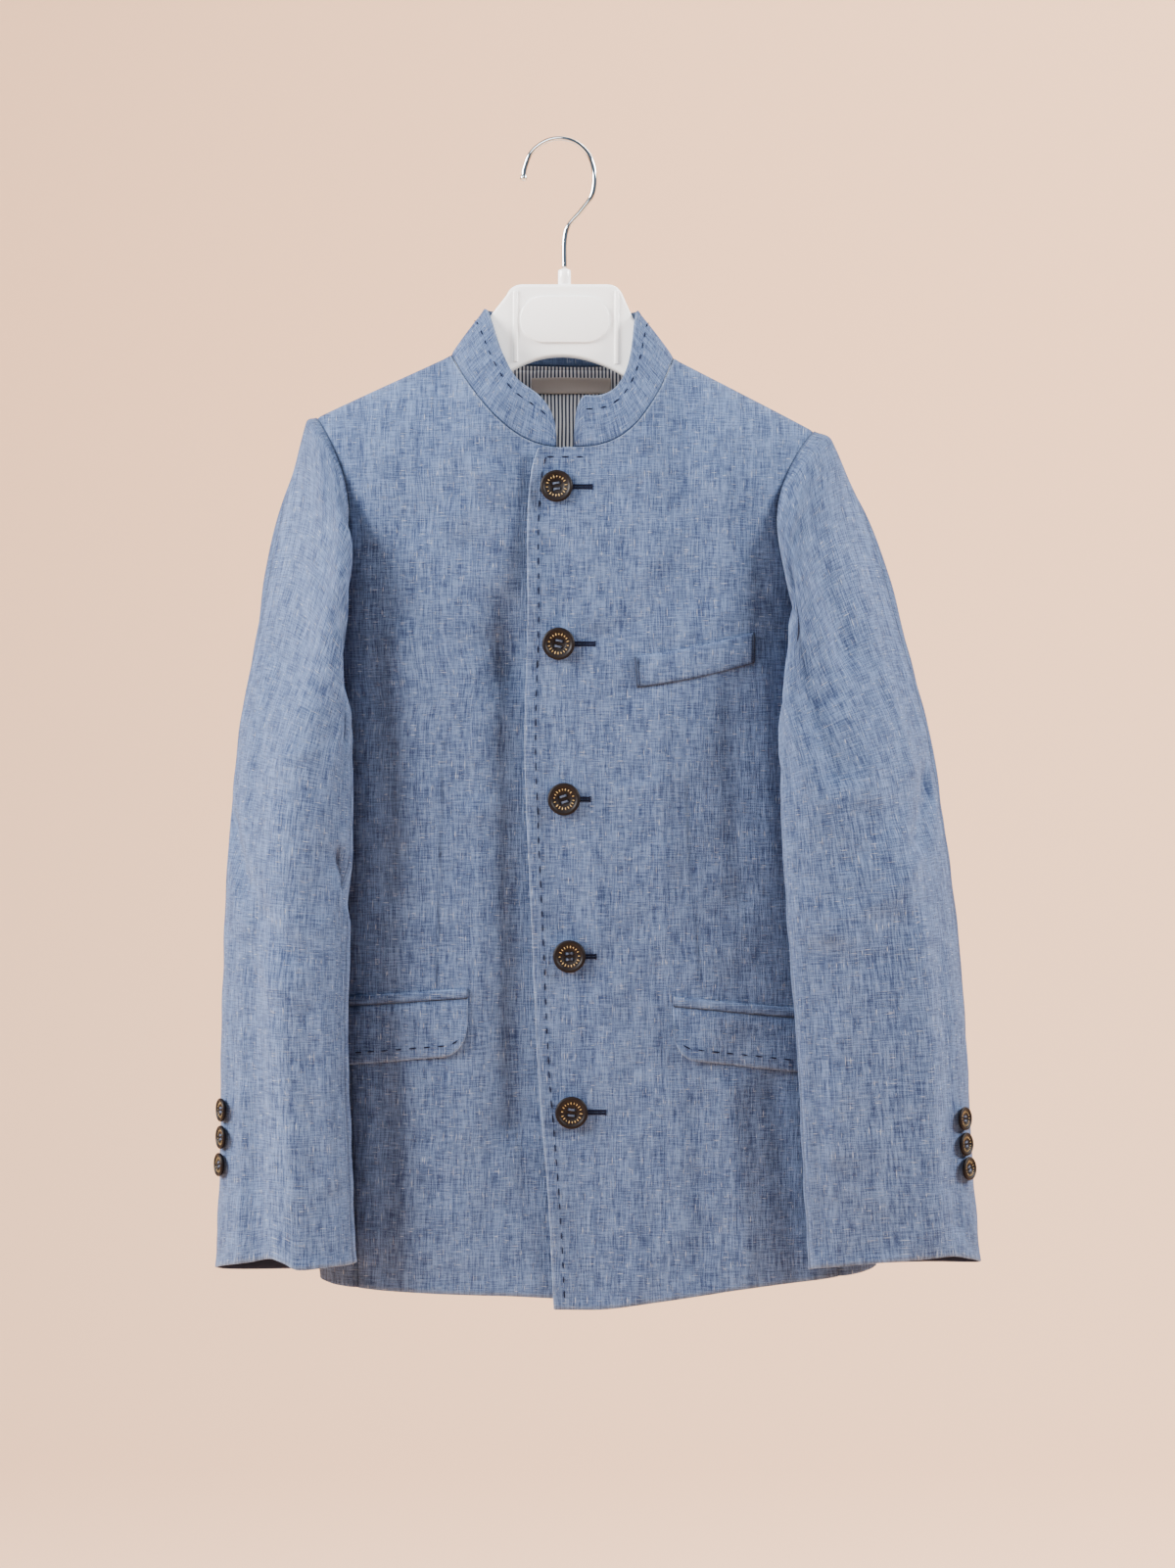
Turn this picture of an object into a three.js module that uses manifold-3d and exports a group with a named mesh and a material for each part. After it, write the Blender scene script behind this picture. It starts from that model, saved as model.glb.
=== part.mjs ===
// A suit jacket with a band collar, buttoned, hanging on a plastic hanger.
// Millimetres. X runs to the viewer's right, Y goes back to the wall, Z is up.
// The origin is the inside top of the hanger's hook. Right and left are the wearer's,
// so the right side of the jacket lies at minus X.
import * as THREE from 'three';
import { mergeVertices } from 'three/addons/utils/BufferGeometryUtils.js';
import Module from 'manifold-3d';

const wasm = await Module();
wasm.setup();

const clothThickness = 1.8;
const liningThickness = 1.2;
const seamGap = 0.34;
const sleeveSeamGap = 0.3;
const armholeGap = 0.45;
const sleeveClearance = 2.6;
const collarGap = 0.95;
const patchLift = 0.5;
const overlapDepth = 2.7;
const overlapFade = { from: -64, to: -26 };
const sideRound = 95;
const shoulderRound = 75;

const neck = { centre: 2, half: 70, frontDrop: 59.5, backDrop: 3.5, rise: 60 };
const neckPower = { right: 2.2, left: 3.2 };
const neckPoint = { right: { x: -68, z: -134 }, left: { x: 72, z: -136 } };
const shoulderTip = { right: { x: -152.3, z: -173 }, left: { x: 160, z: -181.6 } };
const underarmZ = { right: -297, left: -303 };
const armholeInset = { right: { front: 21.5, back: 12 }, left: { front: 27.5, back: 14 } };
const seamFromSide = { top: { front: 11, back: 7 }, hem: { front: 26, back: 26 } };
const seamSpan = { from: -285, to: -710 };
const sideHemZ = -705;
const frontHemZ = -720;
const backHem = { z: -712, rise: 10, half: 175, flat: 0.55 };
const armholeBow = 0.85;
const armholeRows = { share: 0.25, power: 1.25 };
const necklineRows = { share: 0.22, power: 1.3 };
const necklineDip = { right: 1.2, left: 0.6 };
const collarEnd = { right: -1.4, left: 9.4 };

// Half the body's thickness and its two sides at each height.
const torsoRows = [
  { z: -70, mid: 0, front: 20, back: 26, right: -168, left: 178 },
  { z: -134, mid: 0, front: 25, back: 27, right: -168, left: 178 },
  { z: -150, mid: 0, front: 31, back: 28, right: -167, left: 177 },
  { z: -175, mid: -1, front: 38, back: 29, right: -165, left: 175 },
  { z: -205, mid: -1, front: 43, back: 30, right: -160, left: 171 },
  { z: -260, mid: -2, front: 48, back: 31, right: -152.5, left: 165 },
  { z: -330, mid: -2, front: 50, back: 31, right: -150, left: 166 },
  { z: -520, mid: -2, front: 49, back: 30, right: -150, left: 183 },
  { z: -725, mid: -2, front: 47, back: 30, right: -150, left: 200 },
];

const hemRows = {
  right: [
    { x: -150, z: -703 },
    { x: -145, z: -708.5 },
    { x: -120, z: -712 },
    { x: -30, z: -715.5 },
    { x: 16, z: -718 },
  ],
  left: [
    { x: -3, z: -723.4 },
    { x: 27, z: -723.4 },
    { x: 61, z: -719 },
    { x: 126, z: -709.5 },
    { x: 175, z: -704.5 },
    { x: 200, z: -700 },
  ],
};

// The edge of the upper front, down beside the buttons.
const placketRows = [
  { z: -196, x: -13 },
  { z: -210, x: -16.6 },
  { z: -238, x: -18.8 },
  { z: -300, x: -18.8 },
  { z: -345, x: -20.2 },
  { z: -388, x: -20.6 },
  { z: -486, x: -16.5 },
  { z: -578, x: -12.4 },
  { z: -658, x: -6 },
  { z: -724, x: -2.7 },
];
const underFrontEdge = { top: 13, hem: 17, from: -196, to: -716 };

// Soft ridges and hollows of the body: a line from one end to the other.
const bodyFolds = [
  { face: -1, x0: -54, z0: -257, x1: -31, z1: -329, width: 15, rise: -3.4 },
  { face: -1, x0: -27, z0: -320, x1: -27, z1: -560, width: 11, rise: -2.6 },
  { face: -1, x0: -44, z0: -185, x1: -50, z1: -232, width: 17, rise: 2.2 },
  { face: -1, x0: 77, z0: -175, x1: 82, z1: -284, width: 14, rise: -3.2 },
  { face: -1, x0: 99, z0: -215, x1: 104, z1: -290, width: 13, rise: 1.8 },
  { face: -1, x0: -92, z0: -190, x1: -98, z1: -290, width: 16, rise: -1.8 },
  { face: 1, x0: -62, z0: -210, x1: -44, z1: -420, width: 22, rise: -2.6 },
  { face: 1, x0: 78, z0: -220, x1: 62, z1: -440, width: 22, rise: -2.6 },
  { face: 1, x0: -70, z0: -480, x1: -78, z1: -660, width: 20, rise: 2.4 },
  { face: 1, x0: 92, z0: -470, x1: 104, z1: -660, width: 20, rise: 2.4 },
];

// Rings of the sleeves, from below the armhole to the cuff. out and in are the two edges
// of the ring, frontY and backY its faces, lean and backLean shift those faces sideways.
const sleeveRows = {
  right: [
    { v: 0.15, outX: -172, outY: -8, outZ: -234, inX: -155, inY: -17, inZ: -322,
      frontY: -60, backY: 10, lean: 31, backLean: -14, tilt: 0 },
    { v: 0.27, outX: -187, outY: -14, outZ: -308, inX: -131, inY: -46, inZ: -356,
      frontY: -65, backY: -8, lean: 17, backLean: -16, tilt: 0 },
    { v: 0.4, outX: -199, outY: -20, outZ: -374, inX: -126, inY: -55, inZ: -394,
      frontY: -68, backY: -14, lean: 5, backLean: -14, tilt: 0 },
    { v: 0.55, outX: -205, outY: -24, outZ: -456, inX: -125.5, inY: -58, inZ: -464,
      frontY: -69, backY: -18, lean: 0, backLean: -12, tilt: 0 },
    { v: 0.7, outX: -208, outY: -26, outZ: -540, inX: -127.5, inY: -60, inZ: -543,
      frontY: -69, backY: -20, lean: 0, backLean: -11, tilt: 0 },
    { v: 0.85, outX: -209, outY: -26, outZ: -620, inX: -125.5, inY: -60, inZ: -620,
      frontY: -67, backY: -19, lean: 0, backLean: -10, tilt: 1 },
    { v: 1, outX: -212, outY: -24, outZ: -700, inX: -122.5, inY: -58, inZ: -695,
      frontY: -66, backY: -17, lean: 0, backLean: -8, tilt: 4 },
  ],
  left: [
    { v: 0.15, outX: 184, outY: -8, outZ: -240, inX: 168, inY: -17, inZ: -328,
      frontY: -60, backY: 10, lean: -33, backLean: 16, tilt: 0 },
    { v: 0.27, outX: 208, outY: -13, outZ: -314, inX: 143, inY: -46, inZ: -362,
      frontY: -65, backY: -6, lean: -19, backLean: 24, tilt: 0 },
    { v: 0.4, outX: 227, outY: -19, outZ: -380, inX: 138, inY: -60, inZ: -402,
      frontY: -71, backY: -16, lean: -5, backLean: 26, tilt: 0 },
    { v: 0.55, outX: 240, outY: -25, outZ: -460, inX: 139.5, inY: -63, inZ: -468,
      frontY: -72, backY: -23, lean: 0, backLean: 24, tilt: 0 },
    { v: 0.7, outX: 249, outY: -28, outZ: -540, inX: 145, inY: -63, inZ: -545,
      frontY: -71, backY: -26, lean: 0, backLean: 20, tilt: 0 },
    { v: 0.85, outX: 254, outY: -28, outZ: -622, inX: 149, inY: -62, inZ: -624,
      frontY: -68, backY: -27, lean: 0, backLean: 16, tilt: 1 },
    { v: 1, outX: 260, outY: -27, outZ: -696, inX: 153, inY: -57, inZ: -698,
      frontY: -62, backY: -25, lean: 0, backLean: 12, tilt: 3.5 },
  ],
};
const sleeveFullness = 0.84;
const sleeveClearFade = 30;
const sleeveFoldFade = { from: 0.05, over: 0.1 };
const capRow = 0.035;
const capRoll = {
  out: { x: 6.5, y: -1, z: -4 },
  front: { x: 1.2, y: -9, z: -5 },
  under: { x: 3, y: -3, z: -9 },
  back: { x: 4, y: 6, z: -5 },
};

// Folds of the sleeves: angle 0 is the outer edge, 90 the front, 180 the inner edge.
const sleeveFolds = {
  right: [
    { angle0: 62, v0: 0.2, angle1: 74, v1: 1, width: 9, rise: 2.6 },
    { angle0: 96, v0: 0.24, angle1: 88, v1: 0.98, width: 10, rise: -2.2 },
    { angle0: 110, v0: 0.2, angle1: 140, v1: 0.34, width: 9, rise: -3 },
    { angle0: 5, v0: 0.5, angle1: 40, v1: 0.56, width: 8, rise: -2.6 },
    { angle0: 140, v0: 0.52, angle1: 176, v1: 0.57, width: 8, rise: -2.6 },
    { angle0: 268, v0: 0.2, angle1: 262, v1: 0.95, width: 12, rise: -2.4 },
  ],
  left: [
    { angle0: 92, v0: 0.12, angle1: 100, v1: 0.46, width: 10, rise: -3 },
    { angle0: 62, v0: 0.1, angle1: 72, v1: 0.4, width: 9, rise: 2.6 },
    { angle0: 122, v0: 0.14, angle1: 118, v1: 0.6, width: 9, rise: 2.2 },
    { angle0: 4, v0: 0.44, angle1: 40, v1: 0.5, width: 9, rise: -2.6 },
    { angle0: 80, v0: 0.6, angle1: 96, v1: 0.98, width: 12, rise: -1.8 },
    { angle0: 272, v0: 0.2, angle1: 266, v1: 0.95, width: 12, rise: -2.4 },
  ],
};
const sleeveGirth = 230;
const sleeveLength = 520;
const topSleeve = { from: -15, to: 165 };

// The band collar: how far it rises and leans in, from the right end round to the left.
const collarRows = [
  { t: 0, rise: 34, lean: 7 },
  { t: 0.08, rise: 28, lean: 12 },
  { t: 0.17, rise: 22, lean: 20 },
  { t: 0.3, rise: 28, lean: 22 },
  { t: 0.5, rise: 30, lean: 6 },
  { t: 0.7, rise: 29, lean: 23 },
  { t: 0.83, rise: 22, lean: 17 },
  { t: 0.92, rise: 28, lean: 9 },
  { t: 1, rise: 33, lean: 4 },
];
const collarEndRadius = { right: 26, left: 11 };
const collarShare = { front: 0.3, back: 0.4 };
const collarShape = { lowest: 0.16, belly: 2.2, centreY: -8, ends: 0.012, endLift: 0.02 };

const pocket = { jetHeight: 5.6, jetThickness: 1.3, flapGap: 0.7 };
const flaps = {
  right: { start: -55.8, width: 86, topZ: -527, drop: 34, outward: -1, slope: -0.074, corner: 14 },
  left: { start: 70.3, width: 97, topZ: -532, drop: 31, outward: 1, slope: -0.098, corner: 13 },
};
const flapStandOff = 3.2;
const flapShape = { cornerShare: 0.45, fall: 2, looseReach: 3, rightLoose: 0.3 };
const welt = { inner: 46.8, outer: 120, innerTop: -323.9, outerTop: -308.7, height: 18.4 };

const frontButton = { radius: 10, thickness: 3.4, rim: 1.1, hole: 1.1, spread: 2.4 };
const cuffButton = { radius: 7.3, thickness: 2.8, rim: 0.8, hole: 0.8, spread: 1.7 };
const buttonSeat = 0.32;
const cuffSeat = 0.34;
const frontButtonPlaces = [
  { x: -1.2, z: -219.1 },
  { x: 0, z: -315.7 },
  { x: 3.3, z: -410.8 },
  { x: 6.6, z: -507.1 },
  { x: 7.9, z: -602.6 },
];
const cuffButtonPlaces = {
  right: { angle: 17, v: [0.817, 0.849, 0.881] },
  left: { angle: 21, v: [0.823, 0.853, 0.883] },
};

const liningPatch = { right: -63, left: 67, top: -141, bottom: -246, gap: 0.8 };
const labelPatch = { right: -17.4, left: 32.5, top: -145.5, bottom: -155.5, gap: 0.6, thickness: 0.8 };

const hanger = { half: 6, bevel: 2.8, underCloth: 5.6, armHeight: 19, tipHeight: 11,
  tipInset: 13, neckInset: 2, neckDip: 1.4, headRound: 7, tipRound: 5 };
const hangerHead = { left: -30, right: 36.8, top: -90, flareLeft: -44, flareRight: 46, flareZ: -111 };
const hangerArch = { left: -28.8, leftZ: -143.3, middle: 2.5, middleZ: -136.1, right: 39.6, rightZ: -146.3 };
const plaque = { left: -24.3, right: 31.4, top: -97.6, bottom: -126.5, thickness: 1.2 };
const ferrule = { x: 3.3, radius: 4, top: -79.8, bottom: -89.7 };
const wire = { radius: 1.5, sides: 8, steps: 34, ballRadius: 2.3 };
const hookPath = [
  { x: -22.2, z: -23 },
  { x: -21.6, z: -17.5 },
  { x: -17.6, z: -7.6 },
  { x: -9.6, z: -0.9 },
  { x: 0, z: 1.5 },
  { x: 10.4, z: -1.1 },
  { x: 18.4, z: -8.6 },
  { x: 21.9, z: -19.6 },
  { x: 20.6, z: -33.5 },
  { x: 13.6, z: -43.8 },
  { x: 5.6, z: -53.4 },
  { x: 3.4, z: -62 },
  { x: 3.3, z: -79.3 },
];

const linen = { color: 0x6d86ab, roughness: 0.92, metalness: 0 };
const linenDark = { color: 0x5b7398, roughness: 0.92, metalness: 0 };
const liningCloth = { color: 0x8d95a6, roughness: 0.7, metalness: 0 };
const labelCloth = { color: 0x8f8a86, roughness: 0.8, metalness: 0 };
const horn = { color: 0x1d1a1d, roughness: 0.4, metalness: 0 };
const whitePlastic = { color: 0xe9ebee, roughness: 0.3, metalness: 0 };
const chrome = { color: 0xb9bcc2, roughness: 0.2, metalness: 1 };

const garment = new THREE.Group();

function clamp(value, low, high) {
  return Math.min(Math.max(value, low), high);
}

function lerp(a, b, t) {
  return a + (b - a) * t;
}

function smooth(t) {
  const s = clamp(t, 0, 1);
  return s * s * (3 - 2 * s);
}

function quarter(u) {
  const c = 1 - clamp(u, 0, 1);
  return Math.sqrt(1 - c * c);
}

// Slope of a smooth curve through three neighbours, for rows at uneven steps.
function knotSlope(keys, values, i) {
  const last = keys.length - 1;
  const before = Math.max(i - 1, 0);
  const after = Math.min(i + 1, last);
  return (values[after] - values[before]) / (keys[after] - keys[before]);
}

function throughKnots(keys, values, at) {
  const rising = keys[keys.length - 1] > keys[0];
  let i = 0;
  while (i < keys.length - 2 && (rising ? at > keys[i + 1] : at < keys[i + 1])) {
    i += 1;
  }
  const step = keys[i + 1] - keys[i];
  const t = clamp((at - keys[i]) / step, 0, 1);
  const a = knotSlope(keys, values, i) * step;
  const b = knotSlope(keys, values, i + 1) * step;
  const t2 = t * t;
  const t3 = t2 * t;
  return values[i] * (2 * t3 - 3 * t2 + 1) + a * (t3 - 2 * t2 + t)
    + values[i + 1] * (3 * t2 - 2 * t3) + b * (t3 - t2);
}

function column(rows, key) {
  return rows.map((row) => row[key]);
}

function rowValue(rows, by, key, at) {
  return throughKnots(column(rows, by), column(rows, key), at);
}

const torsoKeys = column(torsoRows, 'z');
const torsoColumns = {
  mid: column(torsoRows, 'mid'),
  front: column(torsoRows, 'front'),
  back: column(torsoRows, 'back'),
  right: column(torsoRows, 'right'),
  left: column(torsoRows, 'left'),
};

function torsoSize(key, z) {
  return throughKnots(torsoKeys, torsoColumns[key], z);
}

function ridgeZ(x) {
  const right = neckPoint.right;
  const left = neckPoint.left;
  if (x < right.x) {
    const slope = (right.z - shoulderTip.right.z) / (right.x - shoulderTip.right.x);
    return right.z + (x - right.x) * slope;
  }
  if (x > left.x) {
    const slope = (left.z - shoulderTip.left.z) / (left.x - shoulderTip.left.x);
    return left.z + (x - left.x) * slope;
  }
  const r = (x - neck.centre) / neck.half;
  return lerp(right.z, left.z, (r + 1) / 2) + neck.rise * (1 - r * r);
}

function lineDistance(px, py, fold, keys) {
  const ax = fold[keys[0]];
  const ay = fold[keys[1]];
  const dx = fold[keys[2]] - ax;
  const dy = fold[keys[3]] - ay;
  const t = clamp(((px - ax) * dx + (py - ay) * dy) / (dx * dx + dy * dy), 0, 1);
  return Math.hypot(px - ax - t * dx, py - ay - t * dy);
}

function foldRise(folds, distanceTo) {
  let total = 0;
  for (const fold of folds) {
    const u = distanceTo(fold) / fold.width;
    total += fold.rise * Math.exp(-u * u);
  }
  return total;
}

// Depth of the body's surface: face -1 is the front, +1 the back.
function torsoY(x, z, face) {
  const inset = Math.min(x - torsoSize('right', z), torsoSize('left', z) - x);
  const drop = ridgeZ(x) - z;
  const depth = torsoSize(face < 0 ? 'front' : 'back', z);
  const form = quarter(inset / sideRound) * quarter(drop / shoulderRound);
  const folds = bodyFolds.filter((fold) => fold.face === face);
  const rise = foldRise(folds, (fold) => lineDistance(x, z, fold, ['x0', 'z0', 'x1', 'z1']));
  return torsoSize('mid', z) + face * (depth * form + rise * form);
}

function rightFrontY(x, z) {
  const tuck = smooth((x - overlapFade.from) / (overlapFade.to - overlapFade.from));
  return torsoY(x, z, -1) + overlapDepth * tuck;
}

function frontY(x, z) {
  return torsoY(x, z, -1);
}

function backY(x, z) {
  return torsoY(x, z, 1);
}

// Normal of a height field over X and Z, pointing out at the given face.
function fieldNormal(field, x, z, face) {
  const step = 0.02;
  const y = field(x, z);
  const slopeX = (field(x + step, z) - field(x - step, z)) / (2 * step);
  const slopeZ = (y - field(x, z - step)) / step;
  const normal = new THREE.Vector3(-slopeX, 1, -slopeZ);
  return normal.multiplyScalar(face).normalize();
}

function fieldPoint(field, x, z, face) {
  return { at: new THREE.Vector3(x, field(x, z), z), normal: fieldNormal(field, x, z, face) };
}

function addMesh(name, geometry, look) {
  const mesh = new THREE.Mesh(geometry, new THREE.MeshStandardMaterial(look));
  mesh.name = name;
  garment.add(mesh);
  return mesh;
}

function signedVolume(positions, faces) {
  const a = new THREE.Vector3();
  const b = new THREE.Vector3();
  const c = new THREE.Vector3();
  let total = 0;
  for (const face of faces) {
    a.copy(positions[face[0]]);
    b.copy(positions[face[1]]);
    c.copy(positions[face[2]]);
    total += a.dot(b.cross(c));
  }
  return total / 6;
}

function closedGeometry(positions, faces) {
  const outward = signedVolume(positions, faces) > 0;
  const index = faces.flatMap((face) => (outward ? face : [face[0], face[2], face[1]]));
  const geometry = new THREE.BufferGeometry();
  geometry.setAttribute('position', new THREE.Float32BufferAttribute(
    positions.flatMap((p) => [p.x, p.y, p.z]), 3));
  geometry.setIndex(index);
  return geometry;
}

// Moves the rim of a grid in, so that a seam is left open by a hair.
function trimEdges(grid, gaps) {
  const rows = grid.length;
  const columns = grid[0].length;
  const pull = (row, col, toRow, toCol, gap) => {
    const cell = grid[row][col];
    const towards = grid[toRow][toCol].at.clone().sub(cell.at).normalize().multiplyScalar(gap);
    cell.at.add(towards);
  };
  for (let i = 0; i < rows; i += 1) {
    if (gaps.start) pull(i, 0, i, 1, gaps.start);
    if (gaps.end) pull(i, columns - 1, i, columns - 2, gaps.end);
  }
  for (let j = 0; j < columns; j += 1) {
    if (gaps.top) pull(0, j, 1, j, gaps.top);
    if (gaps.bottom) pull(rows - 1, j, rows - 2, j, gaps.bottom);
  }
}

// A wall of cloth: a grid of outer points, and the same points moved in by its thickness.
function clothWall(name, grid, thickness, look, lift = 0) {
  const rows = grid.length;
  const columns = grid[0].length;
  const outer = [];
  const inner = [];
  for (const row of grid) {
    for (const cell of row) {
      outer.push(cell.at.clone().addScaledVector(cell.normal, lift));
      inner.push(cell.at.clone().addScaledVector(cell.normal, lift - thickness));
    }
  }
  const count = outer.length;
  const faces = [];
  const quad = (a, b, c, d) => faces.push([a, b, c], [a, c, d]);
  const id = (i, j) => i * columns + j;
  for (let i = 0; i < rows - 1; i += 1) {
    for (let j = 0; j < columns - 1; j += 1) {
      quad(id(i, j), id(i, j + 1), id(i + 1, j + 1), id(i + 1, j));
      quad(count + id(i, j), count + id(i + 1, j), count + id(i + 1, j + 1), count + id(i, j + 1));
    }
  }
  const rim = (a, b) => quad(a, count + a, count + b, b);
  for (let j = 0; j < columns - 1; j += 1) {
    rim(id(0, j), id(0, j + 1));
    rim(id(rows - 1, j + 1), id(rows - 1, j));
  }
  for (let i = 0; i < rows - 1; i += 1) {
    rim(id(i + 1, 0), id(i, 0));
    rim(id(i, columns - 1), id(i + 1, columns - 1));
  }
  return addMesh(name, closedGeometry(outer.concat(inner), faces), look);
}

// A four-sided panel pattern: top and hem run with u, the two long edges with v.
function coonsPoint(edges, u, v) {
  const top = edges.top(u);
  const hem = edges.hem(u);
  const inner = edges.inner(v);
  const outer = edges.outer(v);
  const corners = [edges.top(0), edges.top(1), edges.hem(0), edges.hem(1)];
  const mix = (key) => (1 - v) * top[key] + v * hem[key] + (1 - u) * inner[key] + u * outer[key]
    - (1 - u) * (1 - v) * corners[0][key] - u * (1 - v) * corners[1][key]
    - (1 - u) * v * corners[2][key] - u * v * corners[3][key];
  return { x: mix('x'), z: mix('z') };
}

function panelGrid(edges, field, face, size) {
  const grid = [];
  for (let i = 0; i <= size.rows; i += 1) {
    const v = (i / size.rows) ** size.crowd;
    const row = [];
    for (let j = 0; j <= size.columns; j += 1) {
      const p = coonsPoint(edges, j / size.columns, v);
      row.push(fieldPoint(field, p.x, p.z, face));
    }
    grid.push(row);
  }
  return grid;
}

function sideSign(side) {
  return side === 'right' ? -1 : 1;
}

function armholeAt(side, face, w) {
  const tip = shoulderTip[side];
  const low = { x: torsoSize(side, underarmZ[side]), z: underarmZ[side] };
  const inset = armholeInset[side][face < 0 ? 'front' : 'back'];
  const bow = Math.max(Math.sin(Math.PI * w), 0) ** armholeBow;
  return { x: lerp(tip.x, low.x, w) - sideSign(side) * inset * bow, z: lerp(tip.z, low.z, w) };
}

function seamInset(face, z) {
  const key = face < 0 ? 'front' : 'back';
  const t = clamp((z - seamSpan.from) / (seamSpan.to - seamSpan.from), 0, 1);
  return lerp(seamFromSide.top[key], seamFromSide.hem[key], t);
}

// Where the lower armhole comes this near to the side of the body.
function armholeShare(side, face, inset) {
  let low = 0.6;
  let high = 1;
  for (let n = 0; n < 30; n += 1) {
    const w = (low + high) / 2;
    const p = armholeAt(side, face, w);
    const reach = Math.abs(p.x - torsoSize(side, p.z));
    if (reach > inset) {
      low = w;
    } else {
      high = w;
    }
  }
  return (low + high) / 2;
}

function hemZ(side, x) {
  return rowValue(hemRows[side], 'x', 'z', x);
}

function neckFrontZ(x) {
  const r = Math.abs(x - neck.centre) / neck.half;
  const side = x < neck.centre ? 'right' : 'left';
  const edge = lerp(neckPoint.right.z, neckPoint.left.z, (x - neck.centre) / (2 * neck.half) + 0.5);
  return edge - neck.frontDrop * (1 - clamp(r, 0, 1) ** neckPower[side]);
}

function neckBackZ(x) {
  const r = (x - neck.centre) / neck.half;
  const edge = lerp(neckPoint.right.z, neckPoint.left.z, (r + 1) / 2);
  return edge - neck.backDrop * (1 - r * r);
}

function seamPoint(side, face, z) {
  return { x: torsoSize(side, z) - sideSign(side) * seamInset(face, z), z };
}

// The outer long edge of a front or back: the armhole, then the side seam to the hem.
function outerEdge(side, face, hemAt) {
  const inset = seamInset(face, seamSpan.from);
  const stop = armholeShare(side, face, inset);
  const corner = armholeAt(side, face, stop);
  const share = armholeRows.share;
  const hemX = seamPoint(side, face, sideHemZ).x;
  const bottom = hemAt(hemX);
  return (v) => {
    if (v < share) {
      return armholeAt(side, face, stop * (v / share) ** armholeRows.power);
    }
    return seamPoint(side, face, lerp(corner.z, bottom, (v - share) / (1 - share)));
  };
}

function shoulderEdge(side) {
  const from = neckPoint[side];
  const to = shoulderTip[side];
  return (u) => ({ x: lerp(from.x, to.x, u), z: lerp(from.z, to.z, u) });
}

// The inner long edge of a front: the neckline, then the front edge to the hem.
function frontInnerEdge(side, edgeX, bottom) {
  const share = necklineRows.share;
  const cornerX = side === 'right' ? underFrontEdge.top : placketRows[0].x;
  const cornerZ = neckFrontZ(neck.centre) - necklineDip[side];
  return (v) => {
    if (v < share) {
      const q = (v / share) ** necklineRows.power;
      const x = lerp(neckPoint[side].x, cornerX, q);
      const passed = side === 'right' ? x > neck.centre : x < neck.centre;
      const z = passed ? cornerZ : neckFrontZ(x);
      return { x, z: Math.max(z, cornerZ) };
    }
    const z = lerp(cornerZ, bottom, (v - share) / (1 - share));
    return { x: edgeX(z), z };
  };
}

function placketX(z) {
  return rowValue(placketRows, 'z', 'x', z);
}

function underEdgeX(z) {
  const edge = underFrontEdge;
  return lerp(edge.top, edge.hem, clamp((z - edge.from) / (edge.to - edge.from), 0, 1));
}

function frontEdges(side) {
  const edgeX = side === 'right' ? underEdgeX : placketX;
  const innerX = edgeX(frontHemZ);
  const outerX = seamPoint(side, -1, sideHemZ).x;
  const inner = frontInnerEdge(side, edgeX, hemZ(side, innerX));
  return {
    top: shoulderEdge(side),
    hem: (u) => {
      const x = lerp(inner(1).x, outerX, u);
      return { x, z: hemZ(side, x) };
    },
    inner,
    outer: outerEdge(side, -1, (x) => hemZ(side, x)),
  };
}

const backCentre = { topX: 2, hemX: 24 };

function backHemZ(x) {
  const t = Math.abs(x - backCentre.hemX) / backHem.half;
  return backHem.z + backHem.rise * smooth((t - backHem.flat) / (1 - backHem.flat));
}

function backEdges(side) {
  const tip = shoulderTip[side];
  const corner = neckPoint[side];
  const neckShare = 0.42;
  const outer = outerEdge(side, 1, backHemZ);
  return {
    top: (u) => {
      if (u < neckShare) {
        const x = lerp(backCentre.topX, corner.x, Math.sin((u / neckShare) * Math.PI / 2));
        return { x, z: neckBackZ(x) };
      }
      const t = (u - neckShare) / (1 - neckShare);
      return { x: lerp(corner.x, tip.x, t), z: lerp(corner.z, tip.z, t) };
    },
    hem: (u) => {
      const x = lerp(backCentre.hemX, outer(1).x, u);
      return { x, z: backHemZ(x) };
    },
    inner: (v) => ({
      x: lerp(backCentre.topX, backCentre.hemX, v),
      z: lerp(neckBackZ(backCentre.topX), backHemZ(backCentre.hemX), v),
    }),
    outer,
  };
}

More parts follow.
